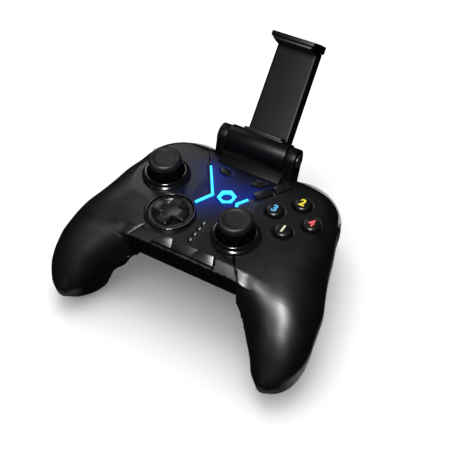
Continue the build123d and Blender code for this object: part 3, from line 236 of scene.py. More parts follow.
@dataclass(frozen=True)
class Moulded:
    """A moulded plastic or rubber: a base colour, a fine grain and a soft wear in its gloss."""

    name: str
    colour: Colour
    roughness: float
    grain_per_mm: float = 6.0
    grain_depth: float = 0.06
    mottle: float = 0.06
    coat: float = 0.0
    metallic: float = 0.0
    specular: float = 0.5
    least_roughness: float = 0.03
    coat_roughness: float = 0.08
    cloud_scale: float = 90.0
    cloud_detail: float = 5.0
    tint_spread: float = 0.15
    grain_height: float = 0.1

    def build(self) -> bpy.types.Material:
        """Makes the material.

        Returns:
            A principled shader whose roughness and colour vary with two noises, with a bump.
        """
        material = bpy.data.materials.new(self.name)
        material.use_nodes = True
        tree = material.node_tree
        shader = tree.nodes["Principled BSDF"]
        cloud = noise(tree, self.cloud_scale, self.cloud_detail)
        dullest = self.roughness + self.mottle
        gloss = mapped(tree, cloud, max(self.roughness - self.mottle, self.least_roughness), dullest)
        tree.links.new(gloss, shader.inputs["Roughness"])
        tint = tree.nodes.new("ShaderNodeMix")
        tint.data_type = "RGBA"
        tint.inputs[6].default_value = (*[c * (1 - self.tint_spread) for c in self.colour], 1.0)
        tint.inputs[7].default_value = (*[min(c * (1 + self.tint_spread), 1.0) for c in self.colour], 1.0)
        tree.links.new(cloud, tint.inputs[0])
        tree.links.new(tint.outputs[2], shader.inputs["Base Color"])
        bump = tree.nodes.new("ShaderNodeBump")
        bump.inputs["Strength"].default_value = self.grain_depth
        bump.inputs["Distance"].default_value = self.grain_height * MM
        tree.links.new(noise(tree, self.grain_per_mm / MM), bump.inputs["Height"])
        tree.links.new(bump.outputs["Normal"], shader.inputs["Normal"])
        shader.inputs["Coat Weight"].default_value = self.coat
        shader.inputs["Coat Roughness"].default_value = self.coat_roughness
        shader.inputs["Metallic"].default_value = self.metallic
        shader.inputs["Specular IOR Level"].default_value = self.specular
        return material


@dataclass(frozen=True)
class Lit:
    """A light guide that glows, a little stronger here and weaker there."""

    name: str
    colour: Colour
    strength: float
    roughness: float = 0.25
    cloud_scale: float = 160.0
    spread: float = 0.15

    def build(self) -> bpy.types.Material:
        """Makes the material.

        Returns:
            A principled shader whose emission varies with a soft noise.
        """
        material = bpy.data.materials.new(self.name)
        material.use_nodes = True
        tree = material.node_tree
        shader = tree.nodes["Principled BSDF"]
        low, high = self.strength * (1 - self.spread), self.strength * (1 + self.spread)
        level = mapped(tree, noise(tree, self.cloud_scale), low, high)
        tree.links.new(level, shader.inputs["Emission Strength"])
        shader.inputs["Emission Color"].default_value = (*self.colour, 1.0)
        shader.inputs["Base Color"].default_value = (*self.colour, 1.0)
        shader.inputs["Roughness"].default_value = self.roughness
        return material


@dataclass(frozen=True)
class PaintedGlow:
    """Satin plastic with painted blue light: an emission that stands in for the light strips' light falling
    on it, as strong as the mesh's own attribute for it says.
    """

    base: Moulded
    # Colour of the painted blue light.
    light: Colour = (0.0, 0.035, 0.55)
    strength: float = 0.42
    # The paler colour near the part line, partly painted sheen.
    edge: Colour = SHEEN_GREY

    def build(self) -> bpy.types.Material:
        """Makes the material.

        Returns:
            The base finish with a painted blue glow, an emission that follows the mesh's attribute for it,
            and a paler colour, partly painted sheen, where the mesh's attribute for that says.
        """
        material = self.base.build()
        tree = material.node_tree
        shader = tree.nodes["Principled BSDF"]
        glow = tree.nodes.new("ShaderNodeAttribute")
        glow.attribute_name = "glow"
        # Painted light: this emission stands in for the light strips' light falling on the panel.
        level = product(tree, glow.outputs["Fac"], self.strength)
        tree.links.new(level, shader.inputs["Emission Strength"])
        shader.inputs["Emission Color"].default_value = (*self.light, 1.0)
        tint_with_sheen(tree, self.edge)
        return material


@dataclass(frozen=True)
class KnurlAndSheen:
    """Dark shell plastic with a knurled stripe whose pale grey is partly its own and partly painted sheen,
    where the mesh's attribute for it says.
    """

    base: Moulded
    colour: Colour = SHEEN_GREY
    knurl_per_mm: float = 0.75
    knurl_height: float = 0.25
    knurl_depth: float = 0.8

    def build(self) -> bpy.types.Material:
        """Makes the material.

        Returns:
            The base finish, mixed with a paler one that is partly painted sheen, and a crossed wave bump for
            the knurl along the same stripe.
        """
        material = self.base.build()
        tree = material.node_tree
        shader = tree.nodes["Principled BSDF"]
        height = tint_with_sheen(tree, self.colour)
        place = tree.nodes.new("ShaderNodeTexCoord")
        for direction in ("X", "Y"):
            wave = tree.nodes.new("ShaderNodeTexWave")
            wave.bands_direction = direction
            wave.inputs["Scale"].default_value = self.knurl_per_mm / MM / WAVE_TURN
            tree.links.new(place.outputs["Object"], wave.inputs["Vector"])
            height = product(tree, height, wave.outputs["Fac"])
        bump = tree.nodes.new("ShaderNodeBump")
        bump.inputs["Strength"].default_value = self.knurl_depth
        bump.inputs["Distance"].default_value = self.knurl_height * MM
        tree.links.new(height, bump.inputs["Height"])
        tree.links.new(shader.inputs["Normal"].links[0].from_socket, bump.inputs["Normal"])
        tree.links.new(bump.outputs["Normal"], shader.inputs["Normal"])
        return material


def softened(points: Sequence[tuple], radius: float, steps: int = 5) -> list[tuple]:
    """A profile whose inner corners are rounded.

    Args:
        points: Corners of the profile, as pairs.
        radius: How far from each corner its curve starts, at most half of each side.
        steps: Number of pieces in each curve.

    Returns:
        The points of the profile, each corner replaced by a parabola between its sides.
    """
    line = [np.array(p, float) for p in points]
    result = [tuple(line[0])]
    for before, corner, after in zip(line, line[1:], line[2:]):
        sides = []
        for other in (before, after):
            length = np.linalg.norm(other - corner)
            sides.append(corner + (other - corner) * min(radius, length / 2) / max(length, TINY))
        for t in np.linspace(0, 1, steps + 1):
            point = (1 - t) ** 2 * sides[0] + 2 * t * (1 - t) * corner + t ** 2 * sides[1]
            result.append(tuple(point))
    result.append(tuple(line[-1]))
    return result


@dataclass(frozen=True)
class BodyForm:
    """Smooth form of the body: superellipse sections whose sizes follow smooth curves along Y.

    At each place along Y the section of one side is a superellipse about the ridge and the
    waist, with its own reach outwards, inwards, up and down. The sizes are shares of the
    body's half width, grip drop, crown and belly, joined by cubic curves.
    """

    half_width: float = 82.3
    grip_drop: float = 44.0
    grip_crown: float = 20.5
    grip_belly: float = 20.0
    rear_y: float = 37.5
    front_y: float = -46.5
    grip_length: float = 29.0
    outer_fullness: float = 2.1
    inner_fullness: float = 4.5
    body_shares: tuple = (0.0, 0.05, 0.12, 0.22, 0.34, 0.46, 0.58, 0.70, 0.82, 0.93, 1.0)
    grip_shares: tuple = (0.15, 0.32, 0.50, 0.66, 0.80, 0.91, 1.0)
    outer_shares: tuple = (0.5443, 0.6386, 0.7213, 0.7786, 0.8087, 0.8476, 0.8787, 0.9196, 0.9643,
                           0.9827, 0.9915, 1.0, 0.9993, 0.9886, 0.9682, 0.9361, 0.8991, 0.8476)
    ridge_shares: tuple = (0.3499, 0.4277, 0.4763, 0.5006, 0.5152, 0.5346, 0.5589, 0.5881, 0.6318,
                           0.6707, 0.6926, 0.729, 0.7592, 0.7835, 0.8019, 0.8078, 0.8078, 0.8019)
    waist_shares: tuple = (0.2, 0.214, 0.232, 0.255, 0.286, 0.327, 0.397, 0.474, 0.55, 0.625, 0.682,
                           0.732, 0.797, 0.835, 0.869, 0.911, 0.942, 0.965)
    crown_shares: tuple = (0.195, 0.4, 0.546, 0.644, 0.712, 0.8, 0.9, 1.0, 1.084, 1.148, 1.172,
                           1.131, 1.066, 0.905, 0.704, 0.51, 0.34, 0.19)
    belly_shares: tuple = (0.65, 0.85, 0.96, 1.0, 1.0, 0.975, 0.93, 0.84, 0.72, 0.61, 0.585, 0.64,
                           0.79, 0.9, 0.8, 0.6, 0.38, 0.2)
    inner_shares: tuple = (0.418, 0.4938, 0.5638, 0.6173, 0.6571, 0.6902, 0.7339, 0.7679)
    inner_fullness_shares: tuple = (1.0, 0.85, 0.72, 0.62, 0.56, 0.52, 0.50, 0.49)
    reach_share: float = 0.07
    face_margin: float = 0.03
    rear_margin: float = 0.1
    front_margin: float = 0.4
    crotch_depth: float = 22.5
    crotch_rear_y: float = -30.0
    crotch_tip_y: float = -61.0
    crotch_power: float = 2.6
    crotch_hold: float = 3.0
    inner_radius_share: float = 0.93
    inner_lift: float = 1.6

    def places(self) -> np.ndarray:
        """Places along Y of all the sections, from the rear edge to the grip's tip."""
        body = self.rear_y - np.array(self.body_shares) * (self.rear_y - self.front_y)
        grip = self.front_y - np.array(self.grip_shares) * self.grip_length
        return np.concatenate([body, grip])

    @staticmethod
    def curve(at: np.ndarray, places: np.ndarray, values: np.ndarray) -> np.ndarray:
        """Cubic curve through values at falling places.

        Args:
            at: Where the curve is read.
            places: Falling places of the values.
            values: One value for each place.

        Returns:
            Hermite cubics whose slopes are those of the neighbours on each side.
        """
        x = -places
        t = np.clip(-at, x[0], x[-1])
        slope = np.gradient(values, x)
        k = np.clip(np.searchsorted(x, t, side="right") - 1, 0, len(x) - 2)
        h = x[k + 1] - x[k]
        u = (t - x[k]) / h
        return ((2 * u ** 3 - 3 * u ** 2 + 1) * values[k] + (u ** 3 - 2 * u ** 2 + u) * h * slope[k]
                + (3 * u ** 2 - 2 * u ** 3) * values[k + 1] + (u ** 3 - u ** 2) * h * slope[k + 1])

    def size_at(self, y: np.ndarray, whole: float, shares: tuple) -> np.ndarray:
        """One size of the sections at places along Y: the whole times the curve of its shares.

        Args:
            y: Where the size is read.
            whole: The size of which the shares are parts.
            shares: One share for each section, counted back from the grip's tip.

        Returns:
            The size at each place.
        """
        return whole * self.curve(y, self.places()[-len(shares):], np.array(shares))

    def crotch(self, y: np.ndarray, t: np.ndarray, keel: np.ndarray,
               inside: np.ndarray) -> tuple[np.ndarray, np.ndarray]:
        """How low the casing may reach between the grips.

        Args:
            y: Places along the body.
            t: Share of the way from the ridge to the grip's inner side.
            keel: Height of the body's underside.
            inside: Whether a place lies on the shell's inner surface.

        Returns:
            The keel, raised towards the crotch's depth by a power of t that fades out behind
            the front wall and along the grip, and the share to which it holds.
        """
        fade = np.where(y > self.front_y, ramp(y, self.crotch_rear_y, self.front_y),
                        ramp(y, self.crotch_tip_y, self.front_y))
        lift = np.maximum(-self.crotch_depth - keel, 0) * t ** self.crotch_power * soft_step(fade)
        lowest = keel + lift + np.where(inside & (t > 0), self.inner_lift, 0.0)
        return lowest, np.where(t > 0, np.clip(fade * self.crotch_hold, 0, 1), 0.0)

    def settle(self, points: np.ndarray) -> np.ndarray:
        """Moves points that lie near the body's surface onto its smooth form.

        Args:
            points: Places in the face frame, in millimetres.

        Returns:
            The same places, those near the surface moved along the line to the section's
            middle until the superellipse's radius is 1, and those between the grips lifted
            to the crotch.
        """
        x, y, z = points.T
        ridge = self.size_at(y, self.half_width, self.ridge_shares)
        outer = self.size_at(y, self.half_width, self.outer_shares)
        inner = self.size_at(y, self.half_width, self.inner_shares)
        waist = self.size_at(y, -self.grip_drop, self.waist_shares)
        crown = self.size_at(y, self.grip_crown, self.crown_shares)
        belly = self.size_at(y, self.grip_belly, self.belly_shares)
        full = self.size_at(y, self.inner_fullness, self.inner_fullness_shares)
        past = np.abs(x) - ridge
        outward = past >= 0
        inwards = -past / (ridge - inner)
        across = np.where(outward, past / (outer - ridge), inwards)
        up = np.abs(z - waist) / np.where(z > waist, crown, belly)
        power = np.where(outward, self.outer_fullness, full)
        radius = (np.abs(across) ** power + up ** power) ** (1 / power)
        near = (np.abs(radius - 1) < self.reach_share) & (z < -self.face_margin)
        near &= y < self.rear_y - self.rear_margin
        near &= outward | (y < self.front_y - self.front_margin)
        pull = np.where(near, 1 / radius, 1.0)
        moved = points.copy()
        moved[:, 0] = np.sign(x) * (ridge + past * pull)
        moved[:, 2] = waist + (z - waist) * pull
        inside = radius < self.inner_radius_share
        lowest, hold = self.crotch(y, np.clip(inwards, 0, 1), waist - belly, inside)
        moved[:, 2] += (np.maximum(moved[:, 2], lowest) - moved[:, 2]) * hold
        return moved


Finish = Moulded | Lit | PaintedGlow | KnurlAndSheen


class Workshop:
    """Shared tools for making and placing meshes."""

    def __init__(self, frame: dict) -> None:
        """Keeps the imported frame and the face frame."""
        self.nodes: dict[str, bpy.types.Object] = frame["nodes"]
        self.face = FaceFrame()
        self.made: dict[str, bpy.types.Material] = {}

    def finish(self, finish: Finish) -> bpy.types.Material:
        """The material of a finish, made once.

        Args:
            finish: The finish.

        Returns:
            Its material.
        """
        key = finish.base.name if isinstance(finish, (PaintedGlow, KnurlAndSheen)) else finish.name
        if key not in self.made:
            self.made[key] = finish.build()
        return self.made[key]

    def dress(self, names: Sequence[str], finish: Finish) -> None:
        """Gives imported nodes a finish.

        Args:
            names: Names of the nodes.
            finish: The finish that they all get.
        """
        material = self.finish(finish)
        for name in names:
            mesh = self.nodes[name].data
            mesh.materials.clear()
            mesh.materials.append(material)
            log.info("dressed %s with %s", name, material.name)

    def place(self, name: str, mesh: bpy.types.Mesh, body: str, slot: str,
              finish: Finish) -> bpy.types.Object:
        """Puts a finished mesh into the scene.

        Args:
            name: Name of the piece.
            mesh: Its mesh, in metres in the row's frame.
            body: The body that it rides on.
            slot: The record's material slot, not used.
            finish: Its finish.

        Returns:
            The new object.
        """
        piece = bpy.data.objects.new(name, mesh)
        bpy.context.scene.collection.objects.link(piece)
        mesh.materials.clear()
        mesh.materials.append(self.finish(finish))
        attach(piece, body)
        log.info("made %s on %s with %d faces", name, body, len(mesh.polygons))
        return piece

    def grid(self, name: str, points: np.ndarray, closed: bool = False) -> bpy.types.Mesh:
        """Mesh of a surface that is given as a grid of points.

        Args:
            name: Name of the mesh.
            points: Array of rows by columns by 3, face frame, millimetres.
            closed: Whether the last column meets the first.

        Returns:
            A mesh of quads, its vertices merged where they meet.
        """
        rows, columns = points.shape[:2]
        index = np.arange(rows * columns).reshape(rows, columns)
        if closed:
            index = np.hstack([index, index[:, :1]])
        quads = np.stack([index[:-1, :-1], index[1:, :-1], index[1:, 1:], index[:-1, 1:]], -1)
        corners = self.face.to_row(points.reshape(-1, 3)).tolist()
        mesh = bpy.data.meshes.new(name)
        mesh.from_pydata(corners, [], quads.reshape(-1, 4).tolist())
        self.tidy(mesh)
        return mesh

    def turned(self, name: str, profile: Sequence[tuple], x: float, y: float,
               steps: int = 96) -> bpy.types.Mesh:
        """Surface turned about an upright axis of the face frame.

        Args:
            name: Name of the mesh.
            profile: Pairs of radius and height.
            x: Place of the axis across.
            y: Place of the axis along.
            steps: Number of places round the axis.

        Returns:
            The mesh.
        """
        angles = np.linspace(0, 2 * np.pi, steps, endpoint=False)
        radius, height = np.array(profile, float).T
        points = np.stack([
            x + radius[:, None] * np.cos(angles), y + radius[:, None] * np.sin(angles),
            np.repeat(height[:, None], steps, axis=1),
        ], -1)
        return self.grid(name, points, closed=True)

    @staticmethod
    def joined(name: str, meshes: Sequence[bpy.types.Mesh]) -> bpy.types.Mesh:
        """One mesh made of several, their doubles merged.

        Args:
            name: Name of the new mesh.
            meshes: The meshes that it is made of.

        Returns:
            The new mesh.
        """
        form = bmesh.new()
        for mesh in meshes:
            form.from_mesh(mesh)
        whole = bpy.data.meshes.new(name)
        form.to_mesh(whole)
        form.free()
        Workshop.tidy(whole)
        return whole

    @staticmethod
    def tidy(mesh: bpy.types.Mesh, sharp_angle: float = 35.0) -> None:
        """Merges doubles, turns the faces outwards and shades all but the sharp edges smooth.

        Args:
            mesh: The mesh to tidy.
            sharp_angle: Angle in degrees from which an edge stays sharp.
        """
        form = bmesh.new()
        form.from_mesh(mesh)
        bmesh.ops.remove_doubles(form, verts=form.verts, dist=DOUBLE_GAP)
        bmesh.ops.recalc_face_normals(form, faces=form.faces)
        form.to_mesh(mesh)
        form.free()
        mesh.polygons.foreach_set("use_smooth", np.ones(len(mesh.polygons), bool))
        mesh.set_sharp_from_angle(angle=math.radians(sharp_angle))

    def eased_copy(self, node: str, ease: float) -> bpy.types.Mesh:
        """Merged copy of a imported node's mesh with its sharp edges rounded.

        Args:
            node: Name of the node.
            ease: Width of the rounding, in millimetres.

        Returns:
            The eased copy.
        """
        mesh = self.nodes[node].data.copy()
        form = bmesh.new()
        form.from_mesh(mesh)
        bmesh.ops.remove_doubles(form, verts=form.verts, dist=NODE_GAP)
        bmesh.ops.dissolve_limit(form, angle_limit=FLAT_ANGLE, verts=form.verts, edges=form.edges)
        sharp = [e for e in form.edges
                 if len(e.link_faces) == 2 and e.calc_face_angle(0.0) > SHARP_ANGLE]
        bmesh.ops.bevel(form, geom=sharp, offset=ease * MM, segments=2, profile=0.5, affect="EDGES",
                        clamp_overlap=True)
        form.to_mesh(mesh)
        form.free()
        self.tidy(mesh, EASED_ANGLE)
        return mesh

    def copy_of(self, node: str, longest: float) -> bpy.types.Mesh:
        """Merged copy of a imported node's mesh, with its long edges divided.

        Args:
            node: Name of the node.
            longest: Longest edge to leave, in millimetres.

        Returns:
            The copy, still in the row's frame.
        """
        mesh = self.nodes[node].data.copy()
        form = bmesh.new()
        form.from_mesh(mesh)
        bmesh.ops.remove_doubles(form, verts=form.verts, dist=NODE_GAP)
        for _ in range(DIVIDING_ROUNDS):
            edges = [e for e in form.edges if e.calc_length() > longest * MM]
            if not edges or len(form.faces) > MOST_FACES:
                break
            bmesh.ops.subdivide_edges(form, edges=edges, cuts=1)
            bmesh.ops.triangulate(form, faces=form.faces, quad_method="SHORT_EDGE")
        form.to_mesh(mesh)
        form.free()
        return mesh


SATIN = Moulded("satin_black", (0.0016, 0.0016, 0.0018), 0.40, grain_per_mm=5.0, grain_depth=0.04)
SOFT = Moulded("soft_black", (0.002, 0.002, 0.0022), 0.42, grain_per_mm=7.0,
               grain_depth=0.07, specular=0.14)
GLOSS = Moulded("gloss_black", (0.005, 0.005, 0.006), 0.17, grain_per_mm=3.0, grain_depth=0.01, coat=0.4)
FROSTED = Moulded("frosted_key", (0.006, 0.006, 0.0065), 0.33, grain_per_mm=6.0,
                  grain_depth=0.04, specular=0.35)
RUBBER = Moulded("thumb_rubber", (0.005, 0.005, 0.0055), 0.52, grain_per_mm=4.0,
                 grain_depth=0.12, specular=0.35)
GREY = Moulded("shoulder_grey", (0.30, 0.31, 0.33), 0.22, grain_per_mm=4.0, grain_depth=0.02, coat=0.4)
# Pale grey ribbon: a painted highlight on the left bevel's edge.
HIGHLIGHT_LINE = Moulded("pale_line", (0.16, 0.16, 0.17), 0.30, grain_per_mm=4.0, grain_depth=0.02)
# Thin pale ribbon: painted highlights on the front key's edges.
KEY_HIGHLIGHT = Moulded("thin_line", (0.09, 0.09, 0.095), 0.30, grain_per_mm=4.0, grain_depth=0.02)
# Matte near-black ribbon: painted shade in the seam groove and along the right bevel.
PAINTED_SHADE = Moulded("dark_groove", (0.001, 0.001, 0.001), 0.70, grain_per_mm=4.0, grain_depth=0.02)
EDGE = Moulded("edge_grey", (0.0018, 0.0018, 0.002), 0.42, grain_per_mm=3.0, grain_depth=0.10)
STEEL = Moulded("turned_steel", (0.42, 0.42, 0.44), 0.30, grain_per_mm=3.0, grain_depth=0.05, metallic=1.0)
SCREW = Moulded("black_screw", (0.05, 0.05, 0.052), 0.30, grain_per_mm=3.0, grain_depth=0.05, metallic=0.7)
BOARD = Moulded("board_green", (0.01, 0.10, 0.04), 0.35, grain_per_mm=2.0, grain_depth=0.1)
WRAP = Moulded("battery_wrap", (0.12, 0.13, 0.16), 0.35, grain_per_mm=2.0, grain_depth=0.05)
MAT = Moulded("mat_rubber", (0.25, 0.25, 0.27), 0.6, grain_per_mm=2.0, grain_depth=0.1)
CYAN = Lit("light_cyan", (0.02, 0.36, 1.0), 2.2)
LAMP = Lit("lamp_white", (0.20, 0.24, 0.30), 0.10)


@dataclass
class Shells:
    """The panels and the lower casing, smoothed onto the body's form.

    Each wash is a panel's node with the reach and the share of the painted blue light on it, an
    emission that stands in for the strips' light. Each lit line is the start and the end of a line in
    the face that sends that light out. Any other pair of numbers is where a share is 0 and where it is 1.
    """

    shop: Workshop
    form: BodyForm = BodyForm()
    side_panels: tuple = ("left_panel", "right_panel")
    washes: tuple = (("left_panel", 9.0, 0.35), ("right_panel", 6.0, 0.25), ("centre_panel", 10.5, 1.0))
    lit_lines: tuple = ((-21.7, 20, -8.05, 0), (-8.05, 0, -13.4, -10), (11.9, 6, 8.05, 0), (-4, 4, 4, 4))
    wash_power: float = 1.5
    wash_front: tuple = (-24.0, -4.0)
    wash_rear: tuple = (30.0, 16.0)
    panel_edge: float = 2.4
    casing_edge: float = 2.8
    shell_angle: float = 30.0
    middle_specular: float = 0.32
    even_reach: float = 3.5
    even_upward: float = 0.25
    even_rear: tuple = (7.5, 2.5)
    even_front: tuple = (-10.8, -4.8)
    even_inner: tuple = (36.0, 46.0)
    even_outer: tuple = (78.0, 73.0)
    even_from_x: float = 35.5
    even_low: float = -24.0
    even_high: float = 0.4
    even_block: int = 400
    ledge_reach: float = 0.3
    ledge_x: float = 38.0
    ledge_upright: float = 0.8
    ledge_upward: float = 0.2
    band_bottom: tuple = (8.0, 4.0)
    band_top: tuple = (-4.2, -1.2)
    band_width: float = 4.0
    band_rear: tuple = (20.0, 8.0)
    band_front: tuple = (-72.0, -62.0)
    tip_share: float = 0.22
    tip_y: tuple = (-68.5, -71.5)
    tip_top: tuple = (-1.5, 1.0)

    def face_places(self, mesh: bpy.types.Mesh) -> np.ndarray:
        """Vertices of a mesh in the face frame, in millimetres."""
        return self.shop.face.to_face(measured(mesh.vertices, "co", 3).astype(float))

    def smoothed(self, node: str, longest: float) -> bpy.types.Mesh:
        """Copy of a shell whose outside lies on the smooth form.

        Args:
            node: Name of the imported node.
            longest: Longest edge, in millimetres.

        Returns:
            The smoothed mesh.
        """
        mesh = self.shop.copy_of(node, longest)
        settled = self.form.settle(self.face_places(mesh))
        if node in self.side_panels:
            settled = self.relaxed(mesh, settled)
        mesh.vertices.foreach_set("co", self.shop.face.to_row(settled).astype(np.float32).ravel())
        Workshop.tidy(mesh, self.shell_angle)
        if node in self.side_panels:
            self.even_normals(mesh)
        return mesh

    @staticmethod
    def corners(mesh: bpy.types.Mesh) -> tuple[np.ndarray, np.ndarray]:
        """The face and the vertex of each corner of a mesh.

        Args:
            mesh: The mesh.

        Returns:
            The index of the corner's face, and the index of its vertex, one of each a corner.
        """
        total = np.zeros(len(mesh.polygons), np.int32)
        mesh.polygons.foreach_get("loop_total", total)
        vertex = np.zeros(len(mesh.loops), np.int32)
        mesh.loops.foreach_get("vertex_index", vertex)
        return np.repeat(np.arange(len(total)), total), vertex

    def relaxed(self, mesh: bpy.types.Mesh, points: np.ndarray) -> np.ndarray:
        """Evens the top of a side panel where the body's sections pass into those of the grip.

        Each place moves to the height of a second-order surface fitted to the top's places
        round it. Their weights are their areas times a bell curve of the distance. Near the
        seam to the middle and towards the sides the panel keeps its own height.

        Args:
            mesh: The mesh that tells which places face upwards.
            points: Places in the face frame.

        Returns:
            The places with evened heights.
        """
        upward = (measured(mesh.vertices, "normal", 3) @ self.shop.face.turn())[:, 2] > self.even_upward
        face, vertex = self.corners(mesh)
        area = measured(mesh.polygons, "area")
        weight_of = np.bincount(vertex, area[face] / MM ** 2, len(points))
        x, y, z = np.abs(points[:, 0]), points[:, 1], points[:, 2].copy()
        off = y - self.form.front_y
        share = np.where(off > 0, ramp(off, *self.even_rear), ramp(off, *self.even_front))
        share *= soft_step(ramp(x, *self.even_inner)) * ramp(x, *self.even_outer)
        known = np.flatnonzero(upward & (x > self.even_from_x) & (z > self.even_low) & (z < self.even_high))
        moving = known[share[known] > 0]
        spread = 2 * self.even_reach ** 2
        for block in np.array_split(moving, max(len(moving) // self.even_block, 1)):
            dx = x[known][None, :] - x[block][:, None]
            dy = y[known][None, :] - y[block][:, None]
            weight = weight_of[known][None, :] * np.exp(-(dx * dx + dy * dy) / spread)
            terms = (np.ones_like(dx), dx, dy, dx * dx, dx * dy, dy * dy)
            matrix = np.array([[np.sum(weight * p * q, axis=1) for p in terms] for q in terms])
            right = np.array([np.sum(weight * p * z[known], axis=1) for p in terms])
            level = np.linalg.solve(matrix.transpose(2, 0, 1), right.T[:, :, None])[:, 0, 0]
            points[block, 2] += share[block] * (level - z[block])
        return points

    def even_normals(self, mesh: bpy.types.Mesh) -> None:
        """Shades the tiny ledge where the grips start as a part of the surface round it.

        Each vertex there gets the mean normal of its faces, weighted by their areas, with the
        upright faces of the ledge left out.

        Args:
            mesh: The panel's mesh, which gets the normals.
        """
        face, vertex = self.corners(mesh)
        facing = measured(mesh.polygons, "normal", 3)
        along = np.abs((facing @ self.shop.face.turn())[:, 1])
        weight = measured(mesh.polygons, "area") * (along < self.ledge_upright)
        normals = np.stack([
            np.bincount(vertex, (weight * facing[:, k])[face], len(mesh.vertices)) for k in range(3)], 1)
        length = np.linalg.norm(normals, axis=1)
        normals /= np.maximum(length, TINY)[:, None]
        place = self.face_places(mesh)
        up = (normals @ self.shop.face.turn())[:, 2]
        zone = np.abs(place[:, 1] - self.form.front_y) < self.ledge_reach
        zone &= (np.abs(place[:, 0]) > self.ledge_x) & (up > self.ledge_upward)
        normals[~zone] = 0
        mesh.normals_split_custom_set_from_vertices(normals.tolist())

    def glow(self, mesh: bpy.types.Mesh, reach: float, share: float) -> None:
        """Writes how strong the painted light of the light strips is at each place of a mesh.

        The wash falls off with the distance to the nearest lit line, and fades towards the
        front and the rear of the face.

        Args:
            mesh: The mesh that gets the attribute.
            reach: Distance in millimetres at which the wash falls to about a third.
            share: How strong the wash is on this mesh.
        """
        face = self.face_places(mesh)
        gaps = []
        for x0, y0, x1, y1 in self.lit_lines:
            start, along = np.array([x0, y0]), np.array([x1 - x0, y1 - y0])
            part = np.clip(((face[:, :2] - start) @ along) / (along @ along), 0, 1)
            gaps.append(np.linalg.norm(face[:, :2] - (start + part[:, None] * along), axis=1))
        # Painted light: strength of the blue glow painted round the light strips.
        level = share * np.exp(-(np.min(gaps, axis=0) / reach) ** self.wash_power)
        level *= ramp(face[:, 1], *self.wash_front) * ramp(face[:, 1], *self.wash_rear)
        glow = mesh.attributes.new("glow", "FLOAT", "POINT")
        glow.data.foreach_set("value", level.astype(np.float32))

    def band(self, mesh: bpy.types.Mesh) -> None:
        """Writes where the knurl and its painted pale sheen run: under the part line, and more faintly round
        the grips' tips.

        Args:
            mesh: The mesh that gets the attribute.
        """
        x, y, z = self.face_places(mesh).T
        below = self.form.size_at(y, -self.form.grip_drop, self.form.waist_shares) - z
        past = np.abs(x) - self.form.size_at(y, self.form.half_width, self.form.ridge_shares)
        # Painted sheen: the pale grey under the part line stands for light glancing off the shell's side.
        level = ramp(below, *self.band_bottom) * ramp(below, *self.band_top) * ramp(past, 0, self.band_width)
        level *= ramp(y, *self.band_rear) * ramp(y, *self.band_front)
        tip = self.tip_share * ramp(y, *self.tip_y) * ramp(below, *self.tip_top)
        band = mesh.attributes.new("band", "FLOAT", "POINT")
        band.data.foreach_set("value", np.maximum(level, tip).astype(np.float32))

    def build(self) -> None:
        """Builds the four shells."""
        for node, reach, share in self.washes:
            mesh = self.smoothed(node, self.panel_edge)
            self.glow(mesh, reach, share)
            self.band(mesh)
            base = replace(SATIN, name="lit_" + node)
            slot = "panel_black"
            if node not in self.side_panels:
                base = replace(base, specular=self.middle_specular)
                slot = "gloss_black"
            piece = self.shop.place(node + "_skin", mesh, "shell", slot, PaintedGlow(base))
            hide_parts(node)
        mesh = self.smoothed("rear_shell", self.casing_edge)
        self.band(mesh)
        piece = self.shop.place("rear_shell_skin", mesh, "shell", "shell_black", KnurlAndSheen(EDGE))
        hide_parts("rear_shell")


@dataclass
class SeamLines:
    """Ribbons of painted shade and light: painted shade in the seam groove along the left side of the middle,
    a painted highlight and a painted shade line on the front bevels, and painted highlights on the front
    key's edges.
    """

    shop: Workshop
    thickness: float = 0.1
    groove: tuple = ((-29.9, 30.0, 0.03), (-23.1, 20.6, 0.03), (-9.35, 0.0, 0.03), (-14.6, -9.6, 0.03))
    groove_width: float = 0.9
    bevel: tuple = ((29.2, -40.6, 0.06), (31.2, -42.6, -1.3), (33.2, -44.6, -2.8), (34.6, -46.0, -4.0))
    highlight_width: float = 1.0
    shade_width: float = 0.4
    key_edges: tuple = (("inner", 4.65, 8.55), ("outer", 19.05, 17.75))
    key_near: tuple = (-45.0, -2.30)
    key_far: tuple = (-41.4, 0.66)
    key_edge_width: float = 0.3

    def ribbon(self, name: str, path: Sequence[tuple], width: float) -> bpy.types.Mesh:
        """Thin flat ribbon along a path.

        Args:
            name: Name of the mesh.
            path: Places of its middle line in the face frame.
            width: Its width in millimetres.

        Returns:
            The ribbon's mesh, its top on the path.
        """
        line = np.array(path, float)
        along = np.gradient(line, axis=0)
        along /= np.linalg.norm(along, axis=1)[:, None]
        across = np.stack([-along[:, 1], along[:, 0], np.zeros(len(line))], 1) * width / 2
        drop = np.array([0, 0, self.thickness])
        rows = np.stack([line - across, line + across, line + across - drop, line - across - drop], 1)
        return self.shop.grid(name, rows, closed=True)

    def build(self) -> None:
        """Lays the ribbons."""
        # The seam is real. Its wide dark line is painted shade.
        mesh = self.ribbon("groove", self.groove, self.groove_width)
        self.shop.place("seam_groove", mesh, "shell", "panel_black", PAINTED_SHADE)
        # The left bevel gets a painted highlight, the right one a painted shade line.
        for side, finish, width in ((Side.LEFT, HIGHLIGHT_LINE, self.highlight_width), (Side.RIGHT, PAINTED_SHADE, self.shade_width)):
            mesh = self.ribbon("bevel", [(x * side.value, y, z) for x, y, z in self.bevel], width)
            self.shop.place(side.name.lower() + "_bevel_line", mesh, "shell", "panel_black", finish)
        # Painted highlights along the front key's edges.
        for name, near, far in self.key_edges:
            mesh = self.ribbon("edge", [(near, *self.key_near), (far, *self.key_far)], self.key_edge_width)
            self.shop.place("front_key_right_line_" + name, mesh, "front_key_right", "panel_black", KEY_HIGHLIGHT)


